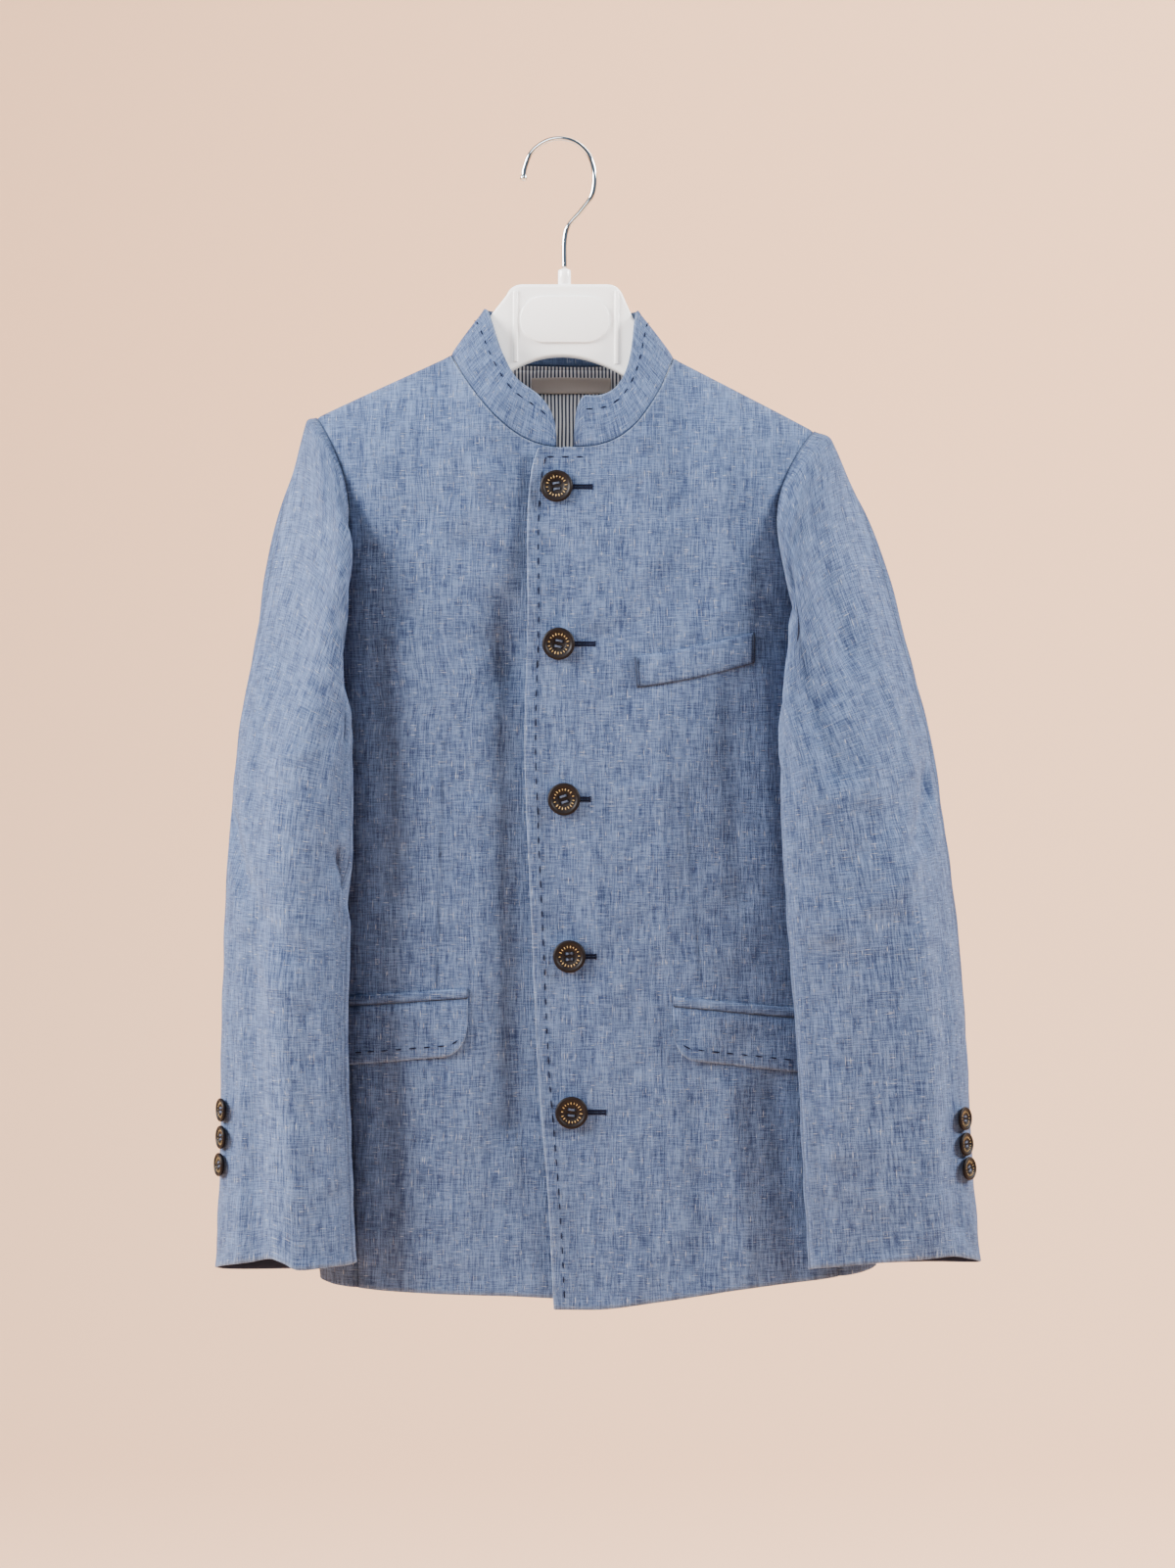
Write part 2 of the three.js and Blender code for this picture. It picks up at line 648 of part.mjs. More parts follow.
// The side panel bends round the side, so its points are set by an angle.
function sideGrid(side, size) {
  const grid = [];
  const sign = sideSign(side);
  const tops = [];
  for (let j = 0; j <= size.columns; j += 1) {
    const c = 1 - (2 * j) / size.columns;
    const face = c >= 0 ? -1 : 1;
    const topAngle = Math.acos(1 - seamInset(face, seamSpan.from) / sideRound);
    const inset = sideRound * (1 - Math.cos(Math.abs(c) * topAngle));
    const w = Math.abs(c) < 1e-6 ? 1 : armholeShare(side, face, inset);
    tops.push(armholeAt(side, face, w).z);
  }
  const place = (c, z) => {
    const face = c >= 0 ? -1 : 1;
    const angle = Math.abs(c) * Math.acos(1 - seamInset(face, z) / sideRound);
    const depth = torsoSize(face < 0 ? 'front' : 'back', z);
    return new THREE.Vector3(
      torsoSize(side, z) - sign * sideRound * (1 - Math.cos(angle)),
      torsoSize('mid', z) + face * depth * Math.sin(angle),
      z,
    );
  };
  for (let i = 0; i <= size.rows; i += 1) {
    const v = i / size.rows;
    const row = [];
    for (let j = 0; j <= size.columns; j += 1) {
      const c = 1 - (2 * j) / size.columns;
      const seamX = seamPoint(side, c >= 0 ? -1 : 1, sideHemZ).x;
      const hemX = lerp(torsoSize(side, sideHemZ), seamX, Math.abs(c));
      const bottom = c >= 0 ? hemZ(side, hemX) : backHemZ(hemX);
      const z = lerp(tops[j], bottom, v);
      const at = place(c, z);
      const across = place(c - 0.01, z).sub(place(c + 0.01, z));
      const down = place(c, z - 0.5).sub(place(c, z + 0.5));
      const normal = across.cross(down).normalize();
      if (normal.x * sign < 0) normal.negate();
      row.push({ at, normal });
    }
    grid.push(row);
  }
  return grid;
}

// A point of the closed armhole at an angle: 0 the shoulder tip, 90 front, 180 underarm.
function armholePoint(side, angle) {
  const w = (1 - Math.cos(angle)) / 2;
  const face = Math.sin(angle) >= 0 ? -1 : 1;
  const p = armholeAt(side, face, w);
  const field = face < 0 ? frontY : backY;
  const inset = Math.abs(p.x - torsoSize(side, p.z));
  const safe = inset < 0.05 ? torsoSize('mid', p.z) : field(p.x, p.z);
  return new THREE.Vector3(p.x, safe, p.z);
}

function armholeNormal(side, angle) {
  const w = clamp((1 - Math.cos(angle)) / 2, 0.002, 0.995);
  const face = Math.sin(angle) >= 0 ? -1 : 1;
  const p = armholeAt(side, face, w);
  const normal = fieldNormal(face < 0 ? frontY : backY, p.x, p.z, face);
  const meeting = smooth((Math.abs(Math.sin(angle)) - 0.02) / 0.25);
  return new THREE.Vector3(0, 0, 1).lerp(normal, meeting).normalize();
}

function bentPower(value, power) {
  return Math.sign(value) * Math.abs(value) ** power;
}

function ringMix(out, front, under, back, angle) {
  const c = bentPower(Math.cos(angle), sleeveFullness);
  const s = bentPower(Math.sin(angle), sleeveFullness);
  const c2 = Math.cos(angle) ** 2;
  const s2 = Math.sin(angle) ** 2;
  const mix = (key) => (out[key] + under[key]) / 2 * c2 + (front[key] + back[key]) / 2 * s2
    + (out[key] - under[key]) / 2 * c + (front[key] - back[key]) / 2 * s;
  return new THREE.Vector3(mix('x'), mix('y'), mix('z'));
}

function sleeveRing(row, angle) {
  const midX = (row.outX + row.inX) / 2;
  const midZ = (row.outZ + row.inZ) / 2;
  return ringMix(
    { x: row.outX, y: row.outY, z: row.outZ },
    { x: midX + row.lean, y: row.frontY, z: midZ + row.tilt },
    { x: row.inX, y: row.inY, z: row.inZ },
    { x: midX + row.backLean, y: row.backY, z: midZ - row.tilt },
    angle,
  );
}

// One line of a sleeve from the armhole to the cuff, as knots at the rows' places.
function sleeveLine(side, angle) {
  const sign = sideSign(side);
  const start = armholePoint(side, angle);
  start.x += sign * armholeGap;
  start.z -= armholeGap * 0.3;
  const roll = ringMix(capRoll.out, capRoll.front, capRoll.under, capRoll.back, angle);
  const cap = start.clone().add(new THREE.Vector3(sign * roll.x, roll.y, roll.z));
  const rows = sleeveRows[side];
  const points = [start, cap].concat(rows.map((row) => sleeveRing(row, angle)));
  return { keys: [0, capRow].concat(column(rows, 'v')), points };
}

// Keeps a sleeve's point outside the body's rounded side, below the middle of the armhole.
function clearOfBody(side, point, clearance) {
  const middle = (shoulderTip[side].z + underarmZ[side]) / 2;
  const share = smooth((middle - point.z) / sleeveClearFade);
  const depth = torsoSize(point.y < torsoSize('mid', point.z) ? 'front' : 'back', point.z);
  const sine = Math.abs(point.y - torsoSize('mid', point.z)) / depth;
  if (sine >= 1) return point;
  const sign = sideSign(side);
  const bodyX = torsoSize(side, point.z) - sign * sideRound * (1 - Math.sqrt(1 - sine * sine));
  const reach = sign * (point.x - bodyX);
  if (reach < clearance) point.x += sign * (clearance - reach) * share;
  return point;
}

function sleeveBase(side, angle, v) {
  const line = sleeveLine(side, angle);
  const at = (key) => throughKnots(line.keys, line.points.map((p) => p[key]), v);
  const point = new THREE.Vector3(at('x'), at('y'), at('z'));
  return clearOfBody(side, point, lerp(armholeGap, sleeveClearance, smooth(v / capRow)));
}

function sleeveFoldRise(side, angle, v) {
  const degrees = ((angle * 180) / Math.PI + 360) % 360;
  const around = (degrees / 360) * sleeveGirth;
  const fade = smooth((v - sleeveFoldFade.from) / sleeveFoldFade.over);
  return fade * foldRise(sleeveFolds[side], (fold) => lineDistance(around, v * sleeveLength, {
    x0: (fold.angle0 / 360) * sleeveGirth,
    y0: fold.v0 * sleeveLength,
    x1: (fold.angle1 / 360) * sleeveGirth,
    y1: fold.v1 * sleeveLength,
  }, ['x0', 'y0', 'x1', 'y1']));
}

function sleevePoint(side, angle, v) {
  const step = 0.01;
  const at = sleeveBase(side, angle, v);
  const around = sleeveBase(side, angle + step, v).sub(sleeveBase(side, angle - step, v));
  const low = Math.max(v - step, 0);
  const high = Math.min(v + step, 1);
  const down = sleeveBase(side, angle, high).sub(sleeveBase(side, angle, low));
  const normal = around.cross(down).normalize().multiplyScalar(sideSign(side));
  at.addScaledVector(normal, sleeveFoldRise(side, angle, v));
  if (v < 1e-6) {
    const crown = smooth((Math.cos(angle) - 0.2) / 0.6);
    normal.lerp(armholeNormal(side, angle), crown).normalize();
  }
  return { at, normal };
}

function sleeveGrid(side, from, to, size) {
  const grid = [];
  for (let i = 0; i <= size.rows; i += 1) {
    const v = (i / size.rows) ** size.crowd;
    const row = [];
    for (let j = 0; j <= size.columns; j += 1) {
      const angle = THREE.MathUtils.degToRad(lerp(from, to, j / size.columns));
      row.push(sleevePoint(side, angle, v));
    }
    grid.push(row);
  }
  return grid;
}

// The seam where the collar sits, from its right end round the neck to its left end.
function collarBase(t) {
  const front = collarShare.front;
  const back = collarShare.back;
  if (t <= front) {
    const x = lerp(collarEnd.right, neckPoint.right.x, Math.sin((t / front) * Math.PI / 2));
    const cell = fieldPoint(rightFrontY, x, neckFrontZ(x), -1);
    return cell;
  }
  if (t < front + back) {
    const q = (t - front) / back;
    const x = neck.centre - neck.half * Math.cos(q * Math.PI);
    return fieldPoint(backY, x, neckBackZ(x), 1);
  }
  const q = (1 - t) / front;
  const x = lerp(collarEnd.left, neckPoint.left.x, Math.sin(q * Math.PI / 2));
  return fieldPoint(frontY, x, neckFrontZ(x), -1);
}

function collarHeight(t, x) {
  const fromRight = t < collarShare.front ? (x - collarEnd.right) / -collarEndRadius.right : 1;
  const fromLeft = t > 1 - collarShare.front ? (x - collarEnd.left) / collarEndRadius.left : 1;
  return lerp(collarShape.lowest, 1, quarter(Math.min(fromRight, fromLeft)));
}

function collarGrid(size) {
  const grid = Array.from({ length: size.rows + 1 }, () => []);
  const ends = collarShape.ends;
  for (let j = 0; j <= size.columns; j += 1) {
    const t = j / size.columns;
    const base = collarBase(t);
    const rise = rowValue(collarRows, 't', 'rise', t);
    const lean = rowValue(collarRows, 't', 'lean', t);
    const inward = new THREE.Vector3(neck.centre - base.at.x, collarShape.centreY - base.at.y, 0).normalize();
    const share = collarHeight(t, base.at.x) + (t < ends || t > 1 - ends ? collarShape.endLift : 0);
    const up = new THREE.Vector3(0, 0, rise).addScaledVector(inward, lean).multiplyScalar(share);
    const along = collarBase(Math.min(t + 0.01, 1)).at.sub(collarBase(Math.max(t - 0.01, 0)).at);
    const normal = up.clone().cross(along).normalize();
    if (normal.dot(inward) > 0) normal.negate();
    const start = base.at.clone().addScaledVector(up.clone().normalize(), collarGap);
    for (let i = 0; i <= size.rows; i += 1) {
      const q = i / size.rows;
      const mixed = base.normal.clone().lerp(normal, clamp(q * 3, 0, 1)).normalize();
      const at = start.clone().addScaledVector(up, q).addScaledVector(mixed, collarShape.belly * q * (1 - q));
      grid[i].push({ at, normal: mixed });
    }
  }
  return grid;
}

// The facets of a panel, to seat on them whatever lies on the cloth.
function facetHeight(grids, x, z) {
  for (const grid of grids) {
    for (let i = 0; i < grid.length - 1; i += 1) {
      for (let j = 0; j < grid[0].length - 1; j += 1) {
        const a = grid[i][j].at;
        const b = grid[i][j + 1].at;
        const c = grid[i + 1][j + 1].at;
        const d = grid[i + 1][j].at;
        for (const tri of [[a, b, c], [a, c, d]]) {
          const y = heightInTriangle(tri, x, z);
          if (y !== null) return y;
        }
      }
    }
  }
  return null;
}

function heightInTriangle(tri, x, z) {
  const [a, b, c] = tri;
  const area = (b.x - a.x) * (c.z - a.z) - (c.x - a.x) * (b.z - a.z);
  if (Math.abs(area) < 1e-9) return null;
  const s = ((x - a.x) * (c.z - a.z) - (c.x - a.x) * (z - a.z)) / area;
  const t = ((b.x - a.x) * (z - a.z) - (x - a.x) * (b.z - a.z)) / area;
  if (s < -1e-6 || t < -1e-6 || s + t > 1 + 1e-6) return null;
  return a.y + s * (b.y - a.y) + t * (c.y - a.y);
}

function patchGrid(size, outline, field, facets, face) {
  const grid = [];
  for (let i = 0; i <= size.rows; i += 1) {
    const row = [];
    for (let j = 0; j <= size.columns; j += 1) {
      const p = outline(j / size.columns, i / size.rows);
      const cell = fieldPoint(field, p.x, p.z, face);
      const y = facetHeight(facets, p.x, p.z);
      if (y !== null) cell.at.y = face < 0 ? Math.min(y, cell.at.y) : Math.max(y, cell.at.y);
      cell.at.addScaledVector(cell.normal, p.lift ?? 0);
      row.push(cell);
    }
    grid.push(row);
  }
  return grid;
}

function jetOutline(flap) {
  return (u, v) => {
    const x = flap.start + flap.outward * flap.width * u;
    return { x, z: flap.topZ + flap.slope * flap.width * u - pocket.jetHeight * v };
  };
}

function flapOutline(flap) {
  return (u, v) => {
    const x = flap.start + flap.outward * flap.width * u;
    const top = flap.topZ + flap.slope * flap.width * u - pocket.jetHeight - pocket.flapGap;
    const away = flap.width * Math.min(u, 1 - u);
    const corner = quarter(away / flap.corner);
    const drop = flap.drop * lerp(flapShape.cornerShare, 1, corner) + flapShape.fall * u;
    const free = smooth(1 - u * flapShape.looseReach) * (flap.outward > 0 ? 1 : flapShape.rightLoose);
    return { x, z: top - drop * v, lift: flapStandOff * free * v * v };
  };
}

function weltOutline(u, v) {
  const x = lerp(welt.inner + 1.2 * v, welt.outer, u);
  const bow = 1.6 * Math.sin(Math.PI * u);
  return { x, z: lerp(welt.innerTop, welt.outerTop, u) - bow - welt.height * v };
}

function manifoldOf(geometry) {
  const bare = geometry.clone();
  bare.deleteAttribute('normal');
  bare.deleteAttribute('uv');
  const merged = mergeVertices(bare, 1e-4);
  return new wasm.Manifold(new wasm.Mesh({
    numProp: 3,
    vertProperties: Float32Array.from(merged.attributes.position.array),
    triVerts: Uint32Array.from(merged.index.array),
  }));
}

function geometryOf(solid) {
  const mesh = solid.getMesh();
  const geometry = new THREE.BufferGeometry();
  geometry.setAttribute('position', new THREE.BufferAttribute(mesh.vertProperties.slice(), 3));
  geometry.setIndex(new THREE.BufferAttribute(mesh.triVerts.slice(), 1));
  return geometry;
}

// A sew-through button about the Y axis, its face at minus Y, with four holes.
function buttonGeometry(size) {
  const half = size.thickness / 2;
  const rimIn = size.radius - 3 * size.rim;
  const profile = [
    new THREE.Vector2(0, -half),
    new THREE.Vector2(size.radius - size.rim, -half),
    new THREE.Vector2(size.radius, 0),
    new THREE.Vector2(size.radius - size.rim, half),
    new THREE.Vector2(rimIn, half - size.rim * 0.7),
    new THREE.Vector2(0, half - size.rim * 0.7),
  ];
  let solid = manifoldOf(new THREE.LatheGeometry(profile, 16));
  for (const [sx, sz] of [[-1, -1], [-1, 1], [1, -1], [1, 1]]) {
    const drill = new THREE.CylinderGeometry(size.hole, size.hole, size.thickness * 2, 5);
    drill.translate((sx * size.spread) / 1.4, 0, (sz * size.spread) / 1.4);
    solid = solid.subtract(manifoldOf(drill));
  }
  const geometry = geometryOf(solid);
  geometry.rotateX(Math.PI);
  return geometry;
}

function placeButton(name, size, centre, normal) {
  const geometry = buttonGeometry(size);
  const mesh = addMesh(name, geometry, horn);
  mesh.position.copy(centre).addScaledVector(normal, size.thickness / 2);
  mesh.quaternion.setFromUnitVectors(new THREE.Vector3(0, -1, 0), normal);
}

function frontButtons(facets) {
  frontButtonPlaces.forEach((place, i) => {
    const at = (dx, dz) => new THREE.Vector3(
      place.x + dx, facetHeight(facets, place.x + dx, place.z + dz), place.z + dz);
    const r = frontButton.radius;
    const across = at(r, 0).sub(at(-r, 0));
    const up = at(0, r).sub(at(0, -r));
    const normal = up.cross(across).normalize();
    if (normal.y > 0) normal.negate();
    const centre = at(0, 0);
    let seat = 0;
    for (let k = 0; k < 12; k += 1) {
      const turn = (k / 12) * 2 * Math.PI;
      for (const reach of [0.5, 1]) {
        const rim = at(Math.cos(turn) * r * reach, Math.sin(turn) * r * reach);
        seat = Math.max(seat, rim.sub(centre).dot(normal));
      }
    }
    centre.addScaledVector(normal, seat + buttonSeat);
    placeButton(`button_front_${i + 1}`, frontButton, centre, normal);
  });
}

function cuffButtons(side) {
  const places = cuffButtonPlaces[side];
  places.v.forEach((v, i) => {
    const cell = sleevePoint(side, THREE.MathUtils.degToRad(places.angle), v);
    const centre = cell.at.clone().addScaledVector(cell.normal, cuffSeat);
    placeButton(`button_cuff_${side}_${i + 1}`, cuffButton, centre, cell.normal);
  });
}

function hangerOutline() {
  const shape = new THREE.Shape();
  const head = hangerHead;
  const topOf = (x) => ridgeZ(x) - hanger.underCloth;
  const tipRight = shoulderTip.right.x + hanger.tipInset;
  const tipLeft = shoulderTip.left.x - hanger.tipInset;
  const inRight = neckPoint.right.x + hanger.neckInset;
  const inLeft = neckPoint.left.x - hanger.neckInset;
  const topIn = neckPoint.right.z - hanger.underCloth - hanger.neckDip;
  const topInLeft = neckPoint.left.z - hanger.underCloth - hanger.neckDip;
  const round = hanger.headRound;
  shape.moveTo(head.left + round, head.top);
  shape.lineTo(head.right - round, head.top);
  shape.quadraticCurveTo(head.right, head.top, head.right + 3, head.top - round);
  shape.lineTo(head.flareRight, head.flareZ);
  shape.lineTo(inLeft, topInLeft);
  shape.lineTo(tipLeft, topOf(tipLeft));
  shape.lineTo(tipLeft + 3, topOf(tipLeft) - hanger.tipRound);
  shape.lineTo(tipLeft + 1, topOf(tipLeft) - hanger.tipHeight);
  shape.lineTo(inLeft, topInLeft - hanger.armHeight);
  shape.lineTo(hangerArch.right, hangerArch.rightZ);
  shape.quadraticCurveTo(hangerArch.middle, 2 * hangerArch.middleZ - hangerArch.rightZ + 1,
    hangerArch.left, hangerArch.leftZ);
  shape.lineTo(inRight, topIn - hanger.armHeight);
  shape.lineTo(tipRight - 1, topOf(tipRight) - hanger.tipHeight);
  shape.lineTo(tipRight - 3, topOf(tipRight) - hanger.tipRound);
  shape.lineTo(tipRight, topOf(tipRight));
  shape.lineTo(inRight, topIn);
  shape.lineTo(head.flareLeft, head.flareZ);
  shape.lineTo(head.left - 3, head.top - round);
  shape.quadraticCurveTo(head.left, head.top, head.left + round, head.top);
  return shape;
}

function buildHanger() {
  const depth = 2 * (hanger.half - hanger.bevel);
  const body = new THREE.ExtrudeGeometry(hangerOutline(), {
    depth,
    bevelEnabled: true,
    bevelThickness: hanger.bevel,
    bevelSize: hanger.bevel,
    bevelOffset: -hanger.bevel,
    bevelSegments: 1,
    curveSegments: 6,
  });
  body.rotateX(Math.PI / 2);
  body.translate(0, depth / 2, 0);
  addMesh('hanger_body', geometryOf(manifoldOf(body)), whitePlastic);

  const plate = new THREE.Shape();
  const radius = (plaque.top - plaque.bottom) / 2;
  const middle = (plaque.top + plaque.bottom) / 2;
  plate.absarc(plaque.right - radius, middle, radius, -Math.PI / 2, Math.PI / 2, false);
  plate.absarc(plaque.left + radius, middle, radius, Math.PI / 2, (3 * Math.PI) / 2, false);
  const plateGeometry = new THREE.ExtrudeGeometry(plate, {
    depth: plaque.thickness, bevelEnabled: false, curveSegments: 10 });
  plateGeometry.rotateX(Math.PI / 2);
  plateGeometry.translate(0, -hanger.half - seamGap, 0);
  addMesh('hanger_plaque', geometryOf(manifoldOf(plateGeometry)), whitePlastic);

  const ferruleLength = ferrule.top - ferrule.bottom;
  const tube = new THREE.CylinderGeometry(ferrule.radius, ferrule.radius, ferruleLength, 16);
  tube.rotateX(Math.PI / 2);
  tube.translate(ferrule.x, 0, (ferrule.top + ferrule.bottom) / 2);
  addMesh('hanger_ferrule', geometryOf(manifoldOf(tube)), whitePlastic);

  const path = new THREE.CatmullRomCurve3(
    hookPath.map((p) => new THREE.Vector3(p.x, 0, p.z)), false, 'centripetal');
  const section = new THREE.Shape();
  section.absarc(0, 0, wire.radius, 0, 2 * Math.PI, false);
  const hook = new THREE.ExtrudeGeometry(section, {
    steps: wire.steps, curveSegments: wire.sides / 2, extrudePath: path });
  const ball = new THREE.SphereGeometry(wire.ballRadius, 8, 6);
  ball.translate(hookPath[0].x, 0, hookPath[0].z);
  addMesh('hanger_hook', geometryOf(manifoldOf(hook).add(manifoldOf(ball))), chrome);
}

const half = seamGap / 2;

function buildPanel(name, edges, field, face, size, gaps) {
  const grid = panelGrid(edges, field, face, size);
  trimEdges(grid, gaps);
  clothWall(name, grid, clothThickness, linen);
  return grid;
}

const frontSize = { rows: 22, columns: 12, crowd: 1.3 };
const backSize = { rows: 16, columns: 10, crowd: 1.7 };
const sideSize = { rows: 12, columns: 6 };
const shoulderGap = { top: half, end: half };

const frontRight = buildPanel('front_right', frontEdges('right'), rightFrontY, -1, frontSize, shoulderGap);
const frontLeft = buildPanel('front_left', frontEdges('left'), frontY, -1, frontSize, shoulderGap);
const backGap = { top: half, start: half, end: half };
const backRight = buildPanel('back_right', backEdges('right'), backY, 1, backSize, backGap);
const backLeft = buildPanel('back_left', backEdges('left'), backY, 1, backSize, backGap);

const sides = {};
for (const side of ['right', 'left']) {
  sides[side] = sideGrid(side, sideSize);
  trimEdges(sides[side], { start: half, end: half });
  clothWall(`side_${side}`, sides[side], clothThickness, linen);
}

const topSize = { rows: 22, columns: 12, crowd: 1.25 };
const underSize = { rows: 22, columns: 10, crowd: 1.25 };
for (const side of ['right', 'left']) {
  const top = sleeveGrid(side, topSleeve.from, topSleeve.to, topSize);
  const under = sleeveGrid(side, topSleeve.to, topSleeve.from + 360, underSize);
  trimEdges(top, { start: sleeveSeamGap, end: sleeveSeamGap });
  trimEdges(under, { start: sleeveSeamGap, end: sleeveSeamGap });
  clothWall(`sleeve_top_${side}`, top, clothThickness, linen);
  clothWall(`sleeve_under_${side}`, under, clothThickness, linenDark);
  cuffButtons(side);
}

clothWall('collar', collarGrid({ rows: 4, columns: 36 }), clothThickness, linen);

for (const side of ['right', 'left']) {
  const field = side === 'right' ? rightFrontY : frontY;
  const facets = [side === 'right' ? frontRight : frontLeft, sides[side]];
  const flap = flaps[side];
  const jet = patchGrid({ rows: 1, columns: 10 }, jetOutline(flap), field, facets, -1);
  clothWall(`jet_${side}`, jet, pocket.jetThickness, linenDark, patchLift + pocket.jetThickness);
  const cover = patchGrid({ rows: 4, columns: 12 }, flapOutline(flap), field, facets, -1);
  clothWall(`flap_${side}`, cover, clothThickness, linen, patchLift + clothThickness);
}

const weltGrid = patchGrid({ rows: 2, columns: 8 }, weltOutline, frontY, [frontLeft], -1);
clothWall('breast_welt', weltGrid, clothThickness, linen, patchLift + clothThickness);

function innerPatch(patch, size) {
  return patchGrid(size, (u, v) => ({
    x: lerp(patch.right, patch.left, u),
    z: lerp(patch.top, patch.bottom, v),
  }), backY, [backRight, backLeft], 1);
}

const liningDepth = clothThickness + liningPatch.gap;
const liningGrid = innerPatch(liningPatch, { rows: 6, columns: 12 });
clothWall('lining_back', liningGrid, liningThickness, liningCloth, -liningDepth);
const labelDepth = liningDepth + liningThickness + labelPatch.gap;
const labelGrid = innerPatch(labelPatch, { rows: 1, columns: 4 });
clothWall('label', labelGrid, labelPatch.thickness, labelCloth, -labelDepth);

frontButtons([frontLeft]);
buildHanger();

export default garment;
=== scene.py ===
import math

import bmesh
import bpy
import numpy as np
from mathutils import Matrix, Vector


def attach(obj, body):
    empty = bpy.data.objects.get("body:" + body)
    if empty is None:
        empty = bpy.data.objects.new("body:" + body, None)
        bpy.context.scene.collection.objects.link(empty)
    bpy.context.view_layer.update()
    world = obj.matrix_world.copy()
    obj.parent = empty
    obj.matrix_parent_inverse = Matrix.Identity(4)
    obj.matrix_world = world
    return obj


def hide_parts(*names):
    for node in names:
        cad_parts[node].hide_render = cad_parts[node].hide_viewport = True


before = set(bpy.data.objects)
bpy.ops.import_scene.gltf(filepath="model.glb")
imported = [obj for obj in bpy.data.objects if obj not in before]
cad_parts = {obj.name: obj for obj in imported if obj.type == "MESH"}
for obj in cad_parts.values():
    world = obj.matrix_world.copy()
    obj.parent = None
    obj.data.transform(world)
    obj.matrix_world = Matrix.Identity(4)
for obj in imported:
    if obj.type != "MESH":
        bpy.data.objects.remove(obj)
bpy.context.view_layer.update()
print("frame loaded:", len(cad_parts), "nodes")

# The tables below are in millimetres, as a pattern maker works; meshes are made in metres.
# X runs to the viewer's right, Y back to the wall, Z up; right and left are the wearer's.
mm = 0.001

cloth = {"thickness": 1.5, "overlap": 3.2, "overlapFrom": -52.0, "overlapTo": -20.0, "tuck": 4.2,
         "tuckFrom": (-225.0, 90.0), "tuckTo": (-700.0, 110.0),
         "sideRound": 95.0, "shoulderRound": 75.0, "fineFolds": 1.7}

neck = {"centre": 2.0, "half": 70.0, "frontDrop": 59.5, "backDrop": 3.5, "rise": 60.0,
        "power": {"right": 2.2, "left": 3.2},
        "point": {"right": (-68.0, -134.0), "left": (72.0, -136.0)}}

armhole = {"tip": {"right": (-152.3, -173.0), "left": (160.0, -181.6)},
           "lowZ": {"right": -297.0, "left": -303.0},
           "inset": {"right": (21.5, 12.0), "left": (27.5, 14.0)},
           "gap": -0.6}

# How far the side panel's seams lie from the body's side, in front and behind.
seamFromSide = {"top": (11.0, 7.0), "hem": (26.0, 26.0), "run": -425.0}
underArmZ, hemLevel = -285.0, -705.0
backHem = {"z": -712.0, "rise": 10.0, "centre": 24.0, "half": 175.0, "from": 0.55, "over": 0.45}

torso = {
    "z": [-70, -134, -150, -175, -205, -260, -330, -520, -725],
    "mid": [0, 0, 0, -1, -1, -2, -2, -2, -2],
    "front": [20, 25, 31, 38, 43, 48, 50, 49, 47],
    "back": [26, 27, 28, 29, 30, 31, 31, 30, 30],
    "right": [-168, -168, -167, -165, -160, -152.5, -150, -150, -150],
    "left": [178, 178, 177, 175, 171, 165, 166, 183, 200],
}

hem = {
    "right": ([-150, -145, -120, -30, 16], [-703, -708.5, -712, -715.5, -718]),
    "left": ([-3, 27, 61, 126, 175, 200], [-723.4, -723.4, -719, -709.5, -704.5, -700]),
}

# The free edge of the left front: heights and places.
placket = ([-196, -210, -238, -300, -345, -388, -486, -578, -658, -724],
           [-13, -16.6, -18.8, -18.8, -20.2, -20.6, -16.5, -12.4, -6, -2.7])
freeEdge = {"width": 9.0, "lift": 0.3, "swell": 1.3, "stop": -720.0, "fade": 30.0}
# The hidden edge of the right front.
underFront = {"top": 13.0, "hem": 17.0, "from": -196.0, "run": -520.0}
buttonRow = {"first": -219.1, "pitch": 95.8}
# The share of a panel's rows that runs along the armhole, or along the neck.
armholeRows, neckRows = 0.25, 0.22

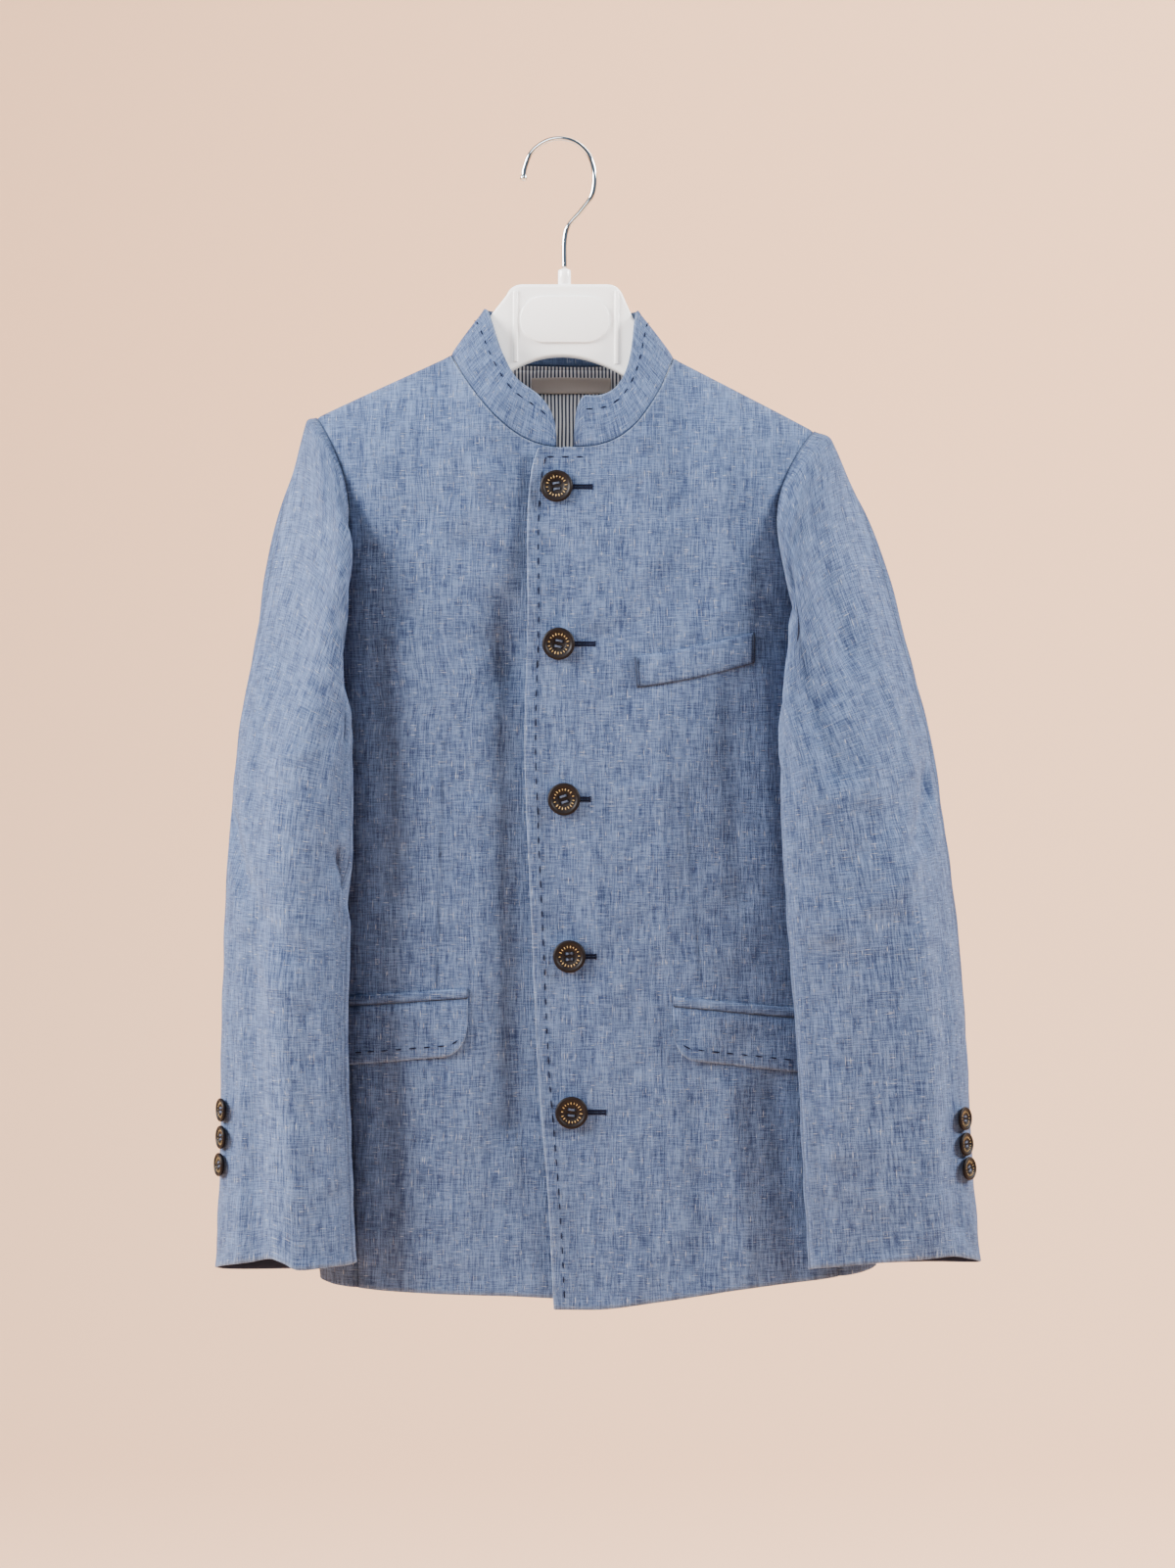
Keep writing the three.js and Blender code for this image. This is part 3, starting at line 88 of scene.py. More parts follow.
# Folds of the body: (x0, z0, x1, z1, width, rise), as in the solids, then the finer ones.
bodyFolds = {
    -1: [(-54, -257, -31, -329, 15, -4.4), (-36, -330, -32, -610, 13, -2.6),
         (-35, -185, -37, -275, 15, 3.0), (-84, -150, -80, -235, 20, -3.0), (77, -175, 82, -284, 14, -3.2),
         (99, -215, 104, -290, 13, 1.8), (-92, -190, -98, -290, 16, -1.8)],
    1: [(-74, -205, -46, -410, 20, -3.6), (90, -215, 60, -450, 21, -3.4),
        (-104, -250, -84, -330, 13, 2.4), (118, -262, 99, -350, 14, 2.2),
        (-66, -480, -80, -680, 20, 3.2), (88, -470, 106, -680, 20, 3.2),
        (-24, -520, -32, -700, 16, -2.4), (42, -540, 50, -705, 17, -2.2)],
}
fineFolds = {
    -1: [(-60, -196, -36, -224, 7, 0.8), (-62, -240, -44, -300, 8, 0.9), (-98, -310, -84, -420, 9, 0.7),
         (-112, -330, -104, -470, 7, -0.8), (-50, -420, -44, -520, 9, 0.6), (-66, -590, -60, -690, 9, 0.7),
         (-40, -610, -44, -700, 8, -0.7), (-104, -600, -108, -700, 8, -0.8), (-90, -580, -84, -640, 7, 0.6),
         (-12, -228, 2, -296, 6, -0.7), (14, -232, 22, -300, 7, 0.7), (-10, -330, -4, -398, 6, -0.6),
         (18, -322, 24, -400, 7, 0.6), (-8, -424, 0, -492, 6, -0.6), (22, -420, 26, -500, 7, 0.6),
         (30, -520, 34, -596, 8, 0.7), (12, -616, 18, -716, 9, -0.8), (42, -620, 50, -712, 8, 0.8),
         (52, -190, 60, -262, 8, 1.0), (112, -196, 118, -262, 7, -1.0), (92, -228, 98, -286, 7, -0.8),
         (60, -352, 66, -470, 8, 0.6), (104, -345, 112, -470, 8, -0.8), (126, -330, 132, -450, 7, 0.8),
         (106, -590, 116, -700, 9, 0.9), (132, -585, 146, -704, 8, -1.0), (84, -600, 90, -700, 7, -0.6),
         (28, -214, 62, -206, 5, 0.5), (24, -312, 56, -300, 5, -0.4), (26, -408, 60, -402, 5, 0.4),
         (-28, -216, -52, -206, 6, 0.6), (-30, -314, -58, -318, 6, -0.5), (-30, -412, -56, -420, 6, 0.5)],
    1: [(-20, -190, -34, -330, 12, 1.2), (28, -185, 44, -320, 12, 1.2), (-104, -230, -92, -380, 11, 1.1),
        (118, -235, 108, -390, 11, 1.2), (-24, -420, -20, -560, 13, -1.1), (52, -430, 50, -590, 13, -1.2),
        (-112, -430, -120, -600, 9, -1.2), (138, -430, 150, -600, 9, -1.2), (-44, -580, -48, -700, 10, 1.0),
        (74, -585, 82, -700, 10, 1.0), (-60, -300, -96, -330, 8, 0.8), (70, -310, 108, -336, 8, 0.8)],
}

sleeveRows = {
    "right": [
        # v, outX, outY, outZ, inX, inY, inZ, frontY, backY, lean, backLean, tilt
        (0.15, -168, -8, -234, -155, -17, -322, -60, 10, 31, -14, 0),
        (0.27, -183.5, -14, -308, -131, -46, -356, -65, -8, 17, -16, 0),
        (0.4, -197.5, -20, -374, -126, -55, -394, -68, -14, 5, -14, 0),
        (0.55, -205, -24, -456, -125.5, -58, -464, -69, -18, 0, -12, 0),
        (0.7, -208, -26, -540, -127.5, -60, -543, -69, -20, 0, -11, 0),
        (0.85, -209, -26, -620, -125.5, -60, -620, -67, -19, 0, -10, 1),
        (1.0, -212, -24, -700, -122.5, -58, -695, -66, -17, 0, -8, 4),
    ],
    "left": [
        (0.15, 187, -8, -240, 168, -17, -328, -60, 10, -33, 16, 0),
        (0.27, 209, -13, -314, 143, -46, -362, -65, -6, -19, 24, 0),
        (0.4, 227, -19, -380, 138, -60, -402, -71, -16, -5, 26, 0),
        (0.55, 240, -25, -460, 139.5, -63, -468, -72, -23, 0, 24, 0),
        (0.7, 249, -28, -540, 145, -63, -545, -71, -26, 0, 20, 0),
        (0.85, 254, -28, -622, 149, -62, -624, -68, -27, 0, 16, 1),
        (1.0, 260, -27, -696, 153, -57, -698, -62, -25, 0, 12, 3.5),
    ],
}
sleeve = {"fullness": 0.84, "capRow": 0.035, "girth": 230.0, "length": 520.0, "clear": 2.6,
          "from": -15.0, "to": 165.0, "crowd": 1.25, "folds": 1.8, "fineFolds": 1.7, "grainRound": 260.0,
          "grainShift": 400.0,
          "capOut": {"right": (6.5, -1, -4), "left": (11, -1, -6)}, "capFront": (1.2, -9, -5),
          "capUnder": (3, -3, -9), "capBack": (4, 6, -5)}

# Folds of the sleeves: (angle0, v0, angle1, v1, width, rise); angle 0 is the outer edge, 90 the front.
sleeveFolds = {
    "right": [(84, 0.1, 98, 1, 12, 3.6), (126, 0.16, 132, 0.98, 24, -2.6), (62, 0.6, 72, 1, 11, -2.0),
              (50, 0.3, 54, 0.9, 15, -1.0),
              (88, 0.16, 118, 0.2, 6, 1.2), (96, 0.215, 128, 0.26, 8, -1.5), (118, 0.24, 142, 0.34, 9, -2),
              (5, 0.5, 40, 0.56, 8, -2.6), (140, 0.52, 176, 0.57, 8, -2.6), (268, 0.2, 262, 0.95, 12, -2.4)],
    "left": [(95, 0.12, 99, 0.4, 9, -2.6), (80, 0.12, 82, 0.44, 7, 1.6), (64, 0.1, 59, 0.27, 8, -1.7),
             (124, 0.14, 118, 0.6, 9, 2.0), (66, 0.5, 72, 0.98, 11, 1.5),
             (4, 0.44, 40, 0.5, 9, -2.6), (80, 0.6, 96, 0.98, 12, -1.8), (272, 0.2, 266, 0.95, 12, -2.4)],
}
fineSleeveFolds = {
    "right": [(40, 0.05, 52, 0.22, 6, 0.9), (84, 0.06, 92, 0.2, 6, -0.9), (66, 0.03, 70, 0.12, 4, 0.7),
              (124, 0.34, 112, 0.5, 6, 1.0), (34, 0.3, 44, 0.46, 6, -0.9), (58, 0.56, 98, 0.63, 6, -0.9),
              (50, 0.6, 84, 0.67, 5, 0.8), (120, 0.6, 128, 0.9, 6, 0.9), (30, 0.62, 34, 0.86, 5, -0.8),
              (104, 0.7, 110, 0.98, 6, -0.8), (48, 0.8, 54, 0.99, 5, 0.8), (150, 0.58, 152, 0.8, 6, -0.8),
              (60, 0.44, 96, 0.39, 5, 0.7), (238, 0.3, 246, 0.7, 8, 1.2), (300, 0.25, 296, 0.6, 8, 1.1),
              (286, 0.62, 276, 0.97, 7, -1.0), (220, 0.55, 224, 0.95, 8, -1.0),
              (320, 0.48, 250, 0.55, 7, -1.2)],
    "left": [(76, 0.1, 84, 0.3, 5, -1.0), (108, 0.2, 110, 0.44, 5, 1.0), (44, 0.08, 54, 0.26, 6, -0.9),
             (132, 0.2, 138, 0.4, 6, -0.9), (24, 0.2, 34, 0.42, 6, 0.9), (56, 0.46, 100, 0.52, 6, -0.9),
             (48, 0.52, 86, 0.57, 5, 0.8), (104, 0.58, 122, 0.86, 7, 1.0), (60, 0.62, 62, 0.96, 7, 0.9),
             (36, 0.64, 40, 0.96, 6, -0.8), (132, 0.62, 142, 0.97, 7, -0.9), (84, 0.5, 88, 0.62, 5, 0.7),
             (242, 0.3, 250, 0.7, 8, 1.2), (304, 0.25, 298, 0.6, 8, 1.1), (288, 0.62, 280, 0.97, 7, -1.0),
             (222, 0.5, 226, 0.95, 8, -1.0), (324, 0.46, 256, 0.53, 7, -1.2)],
}
# How far the sleeve's hem lies off its level round the cuff: (degrees, height).
cuffHem = {
    "right": [(0, 0), (35, 0.3), (62, 1.3), (83, 3.2), (91, 0.6), (98, -3.2), (112, -3.2), (145, -1.0),
              (180, 1.8), (215, 0.3), (290, -0.4), (360, 0)],
    "left": [(0, 0), (30, 1.1), (52, 2.7), (80, 1.2), (112, -0.1), (150, -0.2), (180, 0.2), (225, 3.4),
             (268, 3.9), (312, 1.4), (340, 0.2), (360, 0)],
}

collar = {
    "t": [0, 0.08, 0.17, 0.3, 0.5, 0.7, 0.83, 0.92, 1],
    "rise": [34, 28, 22, 28, 30, 29, 22, 28, 33],
    "lean": [7, 12, 20, 22, 6, 23, 17, 9, 4],
    "end": {"right": -1.4, "left": 9.4}, "radius": {"right": 26.0, "left": 11.0},
    "front": 0.3, "back": 0.4, "gap": 0.6, "rows": 26, "columns": 260, "centreY": -8.0,
}


# Curves through the tables


def throughKnots(keys, values, at):
    # A smooth curve through the values; each value is a number or an array.
    k = np.asarray(keys, float)
    v = np.asarray(values, float)
    if k[0] > k[-1]:
        k, v = k[::-1], v[::-1]
    deep = (...,) + (None,) * (v.ndim - 1)
    slope = np.empty_like(v)
    slope[1:-1] = (v[2:] - v[:-2]) / (k[2:] - k[:-2])[deep]
    slope[0] = (v[1] - v[0]) / (k[1] - k[0])
    slope[-1] = (v[-1] - v[-2]) / (k[-1] - k[-2])
    x = np.asarray(at, float)
    i = np.clip(np.searchsorted(k, x, side="right") - 1, 0, len(k) - 2)
    step = (k[i + 1] - k[i])[deep]
    t = np.clip((x - k[i])[deep] / step, 0, 1)
    t2, t3 = t * t, t * t * t
    return (v[i] * (2 * t3 - 3 * t2 + 1) + slope[i] * step * (t3 - 2 * t2 + t)
            + v[i + 1] * (3 * t2 - 2 * t3) + slope[i + 1] * step * (t3 - t2))


def blend(a, b, t):
    return a + (b - a) * t


def unit(v):
    return v / np.linalg.norm(v, axis=-1, keepdims=True)


def smooth(t):
    s = np.clip(t, 0, 1)
    return s * s * (3 - 2 * s)


def quarter(u):
    c = 1 - np.clip(u, 0, 1)
    return np.sqrt(1 - c * c)


def torsoSize(key, z):
    return throughKnots(torso["z"], torso[key], z)


def placketX(z):
    return throughKnots(placket[0], placket[1], z)


def sideSign(side):
    return -1 if side == "right" else 1


def ridgeZ(x):
    (rx, rz), (lx, lz) = neck["point"]["right"], neck["point"]["left"]
    (tx, tz), (ux, uz) = armhole["tip"]["right"], armhole["tip"]["left"]
    r = (x - neck["centre"]) / neck["half"]
    middle = blend(rz, lz, (r + 1) / 2) + neck["rise"] * (1 - r * r)
    right = rz + (x - rx) * (rz - tz) / (rx - tx)
    left = lz + (x - lx) * (lz - uz) / (lx - ux)
    return np.where(x < rx, right, np.where(x > lx, left, middle))


def foldRise(folds, x, z):
    total = np.zeros(np.broadcast(x, z).shape)
    for ax, az, bx, bz, width, rise in folds:
        dx, dz = bx - ax, bz - az
        raw = ((x - ax) * dx + (z - az) * dz) / (dx * dx + dz * dz)
        t = np.clip(raw, 0, 1)
        far = np.hypot(x - ax - t * dx, z - az - t * dz) / width
        total = total + rise * np.exp(-far * far)
    return total


def slowWaves(x, z, size):
    # Uneven low waves, and the small ripples that linen keeps.
    ripples = np.sin(z * 0.19 + 1.7 * np.sin(x * 0.05 + 0.6)) * np.sin(x * 0.12 + z * 0.03 + 0.8)
    low = np.sin(x * 0.071 + z * 0.019 + 1.3) * np.sin(z * 0.037 - x * 0.013 + 0.4)
    middle = np.sin(x * 0.13 - z * 0.05 + 2.1) * np.sin(z * 0.083 + 0.9)
    return 0.45 * size * ripples + size * (low + 0.6 * middle)


def torsoY(x, z, face):
    inset = np.minimum(x - torsoSize("right", z), torsoSize("left", z) - x)
    form = quarter(inset / cloth["sideRound"]) * quarter((ridgeZ(x) - z) / cloth["shoulderRound"])
    depth = torsoSize("front" if face < 0 else "back", z)
    rise = (foldRise(bodyFolds[face], x, z) + cloth["fineFolds"] * foldRise(fineFolds[face], x, z)
            + slowWaves(x, z, 0.45))
    return torsoSize("mid", z) + face * (depth + rise) * form


def frontY(x, z):
    return torsoY(x, z, -1)


def leftFrontY(x, z):
    # The free edge lifts a little between the buttons.
    away = np.maximum(x - placketX(z), 0) / freeEdge["width"]
    turn = (z - buttonRow["first"]) / buttonRow["pitch"] * math.pi
    between = np.abs(np.sin(turn)) * smooth((z - freeEdge["stop"]) / freeEdge["fade"])
    return torsoY(x, z, -1) - (freeEdge["lift"] + freeEdge["swell"] * between) * np.exp(-away * away)


def rightFrontY(x, z):
    # Under the free edge the lower front falls back, most of all at the waist.
    share = smooth((x - cloth["overlapFrom"]) / (cloth["overlapTo"] - cloth["overlapFrom"]))
    (top, topFade), (low, lowFade) = cloth["tuckFrom"], cloth["tuckTo"]
    deep = smooth((top - z) / topFade) * smooth((z - low) / lowFade)
    return torsoY(x, z, -1) + (cloth["overlap"] + cloth["tuck"] * deep) * share


def backY(x, z):
    return torsoY(x, z, 1)


def fieldNormal(field, x, z, face):
    step = 0.05
    slopeX = (field(x + step, z) - field(x - step, z)) / (2 * step)
    slopeZ = (field(x, z) - field(x, z - step)) / step
    return unit(np.stack([-slopeX, np.ones_like(slopeX), -slopeZ], -1) * face)


def fieldGrid(field, x, z, face):
    at = np.stack([x, field(x, z), z], -1)
    return at, fieldNormal(field, x, z, face)


# Meshes


def newObject(name, mesh):
    obj = bpy.data.objects.new(name, mesh)
    bpy.context.scene.collection.objects.link(obj)
    return obj


def shadeSmooth(mesh):
    mesh.polygons.foreach_set("use_smooth", np.ones(len(mesh.polygons), bool))


def wallMesh(name, at, normal, thickness, uv, lift=0.0, tint=None, rimPush=0.35):
    # A closed thin shell: the outer side, the inner side and a rounded rim between them.
    rows, cols = at.shape[:2]
    outer = at + normal * lift
    inner = at + normal * (lift - thickness)
    points = [outer.reshape(-1, 3), inner.reshape(-1, 3)]
    count = rows * cols
    index = np.arange(count).reshape(rows, cols)
    a, b, c, d = index[:-1, :-1], index[:-1, 1:], index[1:, 1:], index[1:, :-1]
    outFaces = np.stack([a, b, c, d], -1).reshape(-1, 4)
    inFaces = np.stack([a, d, c, b], -1).reshape(-1, 4) + count
    ring = np.concatenate([index[0, :-1], index[:-1, -1], index[-1, :0:-1], index[:0:-1, 0]])
    inward = np.concatenate([index[1, :-1], index[:-1, -2], index[-2, :0:-1], index[:0:-1, 1]])
    flat = outer.reshape(-1, 3)
    away = flat[ring] - flat[inward]
    away /= np.maximum(np.linalg.norm(away, axis=1, keepdims=True), 1e-9)
    middle = (flat[ring] + inner.reshape(-1, 3)[ring]) / 2 + away * rimPush
    points.append(middle)
    n = len(ring)
    here = np.arange(n)
    after = (here + 1) % n
    rimOut = np.stack([ring[here], 2 * count + here, 2 * count + after, ring[after]], -1)
    rimIn = np.stack([2 * count + here, count + ring[here], count + ring[after], 2 * count + after], -1)
    verts = np.concatenate(points) * mm
    faces = np.concatenate([outFaces, rimOut, rimIn, inFaces])
    middleRow, middleCol = rows // 2, cols // 2
    across = outer[middleRow, middleCol + 1] - outer[middleRow, middleCol]
    down = outer[middleRow + 1, middleCol] - outer[middleRow, middleCol]
    if np.dot(np.cross(down, across), normal[middleRow, middleCol]) > 0:
        faces = faces[:, ::-1]
    mesh = bpy.data.meshes.new(name)
    mesh.from_pydata(verts.tolist(), [], faces.tolist())
    mesh.update()
    layer = mesh.uv_layers.new(name="cloth")
    ids = np.empty(len(mesh.loops), int)
    mesh.loops.foreach_get("vertex_index", ids)
    flatUv = uv.reshape(-1, 2)
    source = np.concatenate([np.arange(count), np.arange(count), ring])
    layer.data.foreach_set("uv", (flatUv[source[ids]] * mm).ravel())
    shade = mesh.attributes.new("tint", "FLOAT", "POINT")
    values = np.zeros(count) if tint is None else tint.ravel()
    shade.data.foreach_set("value", values[source])
    shadeSmooth(mesh)
    kinds = np.zeros(len(faces), int)
    kinds[len(faces) - len(inFaces):] = 1
    mesh.polygons.foreach_set("material_index", kinds)
    return newObject(name, mesh)


def arcLengths(at):
    rows = np.zeros(at.shape[:2])
    step = np.linalg.norm(at[:, 1:] - at[:, :-1], axis=-1)
    rows[:, 1:] = np.cumsum(step, axis=1)
    return rows


def edgeSum(at, rows):
    # Adds up a soft band along each named edge: {edge: (height, width)}.
    down = np.linalg.norm(at[1:] - at[:-1], axis=-1)
    fromStart = arcLengths(at)
    fromTop = np.pad(np.cumsum(down, 0), ((1, 0), (0, 0)))
    away = {"start": fromStart, "end": fromStart[:, -1:] - fromStart,
            "top": fromTop, "bottom": fromTop[-1:] - fromTop}
    return sum(height * np.exp(-(away[edge] / width) ** 2) for edge, (height, width) in rows.items())


def shapeEdges(at, normal, rows):
    return at + normal * edgeSum(at, rows)[..., None]


def panelUv(at):
    # Metres of cloth: round the body along a row, and straight down the grain.
    step = np.hypot(at[:, 1:, 0] - at[:, :-1, 0], at[:, 1:, 1] - at[:, :-1, 1])
    sign = 1 if at[-1, -1, 0] > at[-1, 0, 0] else -1
    u = at[:, :1, 0] + sign * np.pad(np.cumsum(step, 1), ((0, 0), (1, 0)))
    return np.stack([u, at[..., 2]], -1)


# The body's pattern


def armholeAt(side, face, w):
    # A place on the armhole's line: w runs from the shoulder's tip to its lowest point.
    (tx, tz), lowZ = armhole["tip"][side], armhole["lowZ"][side]
    lowX = float(torsoSize(side, lowZ))
    bow = np.maximum(np.sin(np.pi * np.asarray(w, float)), 0) ** 0.85
    inset = armhole["inset"][side][0 if face < 0 else 1]
    return np.stack([blend(tx, lowX, w) - sideSign(side) * inset * bow, blend(tz, lowZ, w)], -1)


def seamInset(face, z):
    k = 0 if face < 0 else 1
    share = np.clip((z - underArmZ) / seamFromSide["run"], 0, 1)
    return blend(seamFromSide["top"][k], seamFromSide["hem"][k], share)


def armholeShare(side, face, inset):
    # How far down the armhole's line it comes this near to the body's side.
    low, high = 0.6, 1.0
    for halving in range(30):
        w = (low + high) / 2
        x, z = armholeAt(side, face, w)
        if abs(x - float(torsoSize(side, z))) > inset:
            low = w
        else:
            high = w
    return (low + high) / 2


def hemZ(side, x):
    return throughKnots(hem[side][0], hem[side][1], x)


def backHemZ(x):
    away = np.abs(x - backHem["centre"]) / backHem["half"]
    return backHem["z"] + backHem["rise"] * smooth((away - backHem["from"]) / backHem["over"])


def neckFrontZ(x):
    r = np.abs(x - neck["centre"]) / neck["half"]
    power = np.where(x < neck["centre"], neck["power"]["right"], neck["power"]["left"])
    edge = blend(neck["point"]["right"][1], neck["point"]["left"][1],
                 (x - neck["centre"]) / (2 * neck["half"]) + 0.5)
    return edge - neck["frontDrop"] * (1 - np.clip(r, 0, 1) ** power)


def neckBackZ(x):
    r = (x - neck["centre"]) / neck["half"]
    edge = blend(neck["point"]["right"][1], neck["point"]["left"][1], (r + 1) / 2)
    return edge - neck["backDrop"] * (1 - r * r)


def seamX(side, face, z):
    return torsoSize(side, z) - sideSign(side) * seamInset(face, z)


def outerEdge(side, face, hemAt):
    # Down the armhole as far as the side seam, then along that seam to the hem.
    stop = armholeShare(side, face, float(seamInset(face, underArmZ)))
    corner = armholeAt(side, face, stop)
    bottom = float(hemAt(seamX(side, face, hemLevel)))

    def edge(v):
        upper = armholeAt(side, face, stop * (np.minimum(v, armholeRows) / armholeRows) ** 1.25)
        z = blend(corner[1], bottom, np.maximum(v - armholeRows, 0) / (1 - armholeRows))
        return np.where((v < armholeRows)[:, None], upper, np.stack([seamX(side, face, z), z], -1))
    return edge


def shoulderEdge(side, u):
    a, b = np.array(neck["point"][side]), np.array(armhole["tip"][side])
    return a + (b - a) * u[:, None]


def underShare(z):
    return np.clip((z - underFront["from"]) / underFront["run"], 0, 1)


def frontEdges(side):
    # Shoulder, hem, neck with the free edge, and armhole with the side seam.
    right = side == "right"
    cornerX = underFront["top"] if right else placket[1][0]
    cornerZ = float(neckFrontZ(neck["centre"])) - (1.2 if right else 0.6)

    def edgeX(z):
        if not right:
            return placketX(z)
        return blend(underFront["top"], underFront["hem"], underShare(z))
    innerX = float(edgeX(freeEdge["stop"]))
    bottom = float(hemZ(side, innerX))
    outerX = float(seamX(side, -1, hemLevel))

    def inner(v):
        q = (np.minimum(v, neckRows) / neckRows) ** 1.3
        x = blend(neck["point"][side][0], cornerX, q)
        passed = x > neck["centre"] if right else x < neck["centre"]
        z = np.maximum(np.where(passed, cornerZ, neckFrontZ(x)), cornerZ)
        lowZ = blend(cornerZ, bottom, np.maximum(v - neckRows, 0) / (1 - neckRows))
        return np.where((v < neckRows)[:, None], np.stack([x, z], -1), np.stack([edgeX(lowZ), lowZ], -1))

    def bottomEdge(u):
        x = blend(inner(np.array([1.0]))[0, 0], outerX, u)
        return np.stack([x, hemZ(side, x)], -1)
    return (lambda u: shoulderEdge(side, u)), bottomEdge, inner, outerEdge(side, -1, lambda x: hemZ(side, x))


def backEdges(side):
    tip, corner = armhole["tip"][side], neck["point"][side]
    share = 0.42
    seamTop, seamLow = neck["centre"], backHem["centre"]
    outer = outerEdge(side, 1, backHemZ)

    def top(u):
        x = blend(seamTop, corner[0], np.sin(np.minimum(u / share, 1) * math.pi / 2))
        t = np.maximum(u - share, 0) / (1 - share)
        run = np.stack([blend(corner[0], tip[0], t), blend(corner[1], tip[1], t)], -1)
        return np.where((u < share)[:, None], np.stack([x, neckBackZ(x)], -1), run)

    def bottomEdge(u):
        x = blend(seamLow, outer(np.array([1.0]))[0, 0], u)
        return np.stack([x, backHemZ(x)], -1)

    def inner(v):
        z = blend(neckBackZ(seamTop), backHemZ(seamLow), v)
        return np.stack([blend(seamTop, seamLow, v), z], -1)
    return top, bottomEdge, inner, outer


def nearEdges(count, share=0.55):
    # Steps from 0 to 1 that are shorter near both ends.
    u = np.linspace(0, 1, count + 1)
    return u - share * np.sin(2 * np.pi * u) / (2 * np.pi)


def panelPlaces(edges, rows, columns, crowd):
    # Fills the field between four edges evenly, as a pattern piece.
    top, bottomEdge, inner, outer = edges
    u = nearEdges(columns)
    v = np.linspace(0, 1, rows + 1) ** crowd
    t, h, a, b = top(u)[None], bottomEdge(u)[None], inner(v)[:, None], outer(v)[:, None]
    uu, vv = u[None, :, None], v[:, None, None]
    return ((1 - vv) * t + vv * h + (1 - uu) * a + uu * b - (1 - uu) * (1 - vv) * t[:, :1]
            - uu * (1 - vv) * t[:, -1:] - (1 - uu) * vv * h[:, :1] - uu * vv * h[:, -1:])


def sideGrid(side, rows, columns):
    # The panel under the arm, round the body's side; c is 1 at the front seam and -1 at the back seam.
    sign = sideSign(side)
    c = 1 - 2 * np.arange(columns + 1) / columns
    face = np.where(c >= 0, -1, 1)
    tops, bottoms = [], []
    for cj, f in zip(c, face):
        reach = math.acos(1 - float(seamInset(f, underArmZ)) / cloth["sideRound"])
        inset = cloth["sideRound"] * (1 - math.cos(abs(cj) * reach))
        w = 1.0 if abs(cj) < 1e-6 else armholeShare(side, f, inset)
        tops.append(armholeAt(side, f, w)[1])
        x = blend(float(torsoSize(side, hemLevel)), float(seamX(side, f, hemLevel)), abs(cj))
        bottoms.append(float(hemZ(side, x) if cj >= 0 else backHemZ(x)))
    z = blend(np.array(tops)[None], np.array(bottoms)[None], np.linspace(0, 1, rows + 1)[:, None])

    def place(c, z):
        back = c < 0
        inset = np.where(back, seamInset(1, z), seamInset(-1, z))
        angle = np.abs(c) * np.arccos(1 - inset / cloth["sideRound"])
        depth = np.where(back, torsoSize("back", z), torsoSize("front", z))
        x = torsoSize(side, z) - sign * cloth["sideRound"] * (1 - np.cos(angle))
        y = torsoSize("mid", z) + np.where(back, 1, -1) * depth * np.sin(angle)
        return np.stack([x, y, z + 0 * x], -1)
    cc = c[None] + 0 * z
    normal = unit(np.cross(place(cc - 0.01, z) - place(cc + 0.01, z),
                           place(cc, z - 0.5) - place(cc, z + 0.5)))
    normal *= np.where(normal[..., :1] * sign < 0, -1, 1)
    at = place(cc, z)
    return at + normal * slowWaves(z, 90 * cc, 0.5)[..., None], normal


# Sleeves


def bentPower(value, power):
    return np.sign(value) * np.abs(value) ** power


def ringMix(out, front, under, back, angle):
    # A ring round the arm through four places, a little fuller than an ellipse.
    c, s = bentPower(np.cos(angle), sleeve["fullness"]), bentPower(np.sin(angle), sleeve["fullness"])
    c2, s2 = np.cos(angle) ** 2, np.sin(angle) ** 2
    out, front, under, back = (np.array(p, float) for p in (out, front, under, back))
    return ((out + under) / 2 * c2[:, None] + (front + back) / 2 * s2[:, None]
            + (out - under) / 2 * c[:, None] + (front - back) / 2 * s[:, None])


def armholePlace(side, angle, low, high):
    # Where the armhole is at an angle round the arm, and if that is on the front.
    w = np.clip((1 - np.cos(angle)) / 2, low, high)
    isFront = np.sin(angle) >= 0
    p = np.where(isFront[:, None], armholeAt(side, -1, w), armholeAt(side, 1, w))
    return p[:, 0], p[:, 1], isFront


def armholePoint(side, angle):
    x, z, isFront = armholePlace(side, angle, 0, 1)
    y = np.where(isFront, frontY(x, z), backY(x, z))
    inset = np.abs(x - torsoSize(side, z))
    return np.stack([x, np.where(inset < 0.05, torsoSize("mid", z), y), z], -1)


def armholeNormal(side, angle):
    x, z, isFront = armholePlace(side, angle, 0.002, 0.995)
    n = np.where(isFront[:, None], fieldNormal(frontY, x, z, -1), fieldNormal(backY, x, z, 1))
    meeting = smooth((np.abs(np.sin(angle)) - 0.02) / 0.25)[:, None]
    return unit(blend(np.array([0.0, 0, 1]), n, meeting))


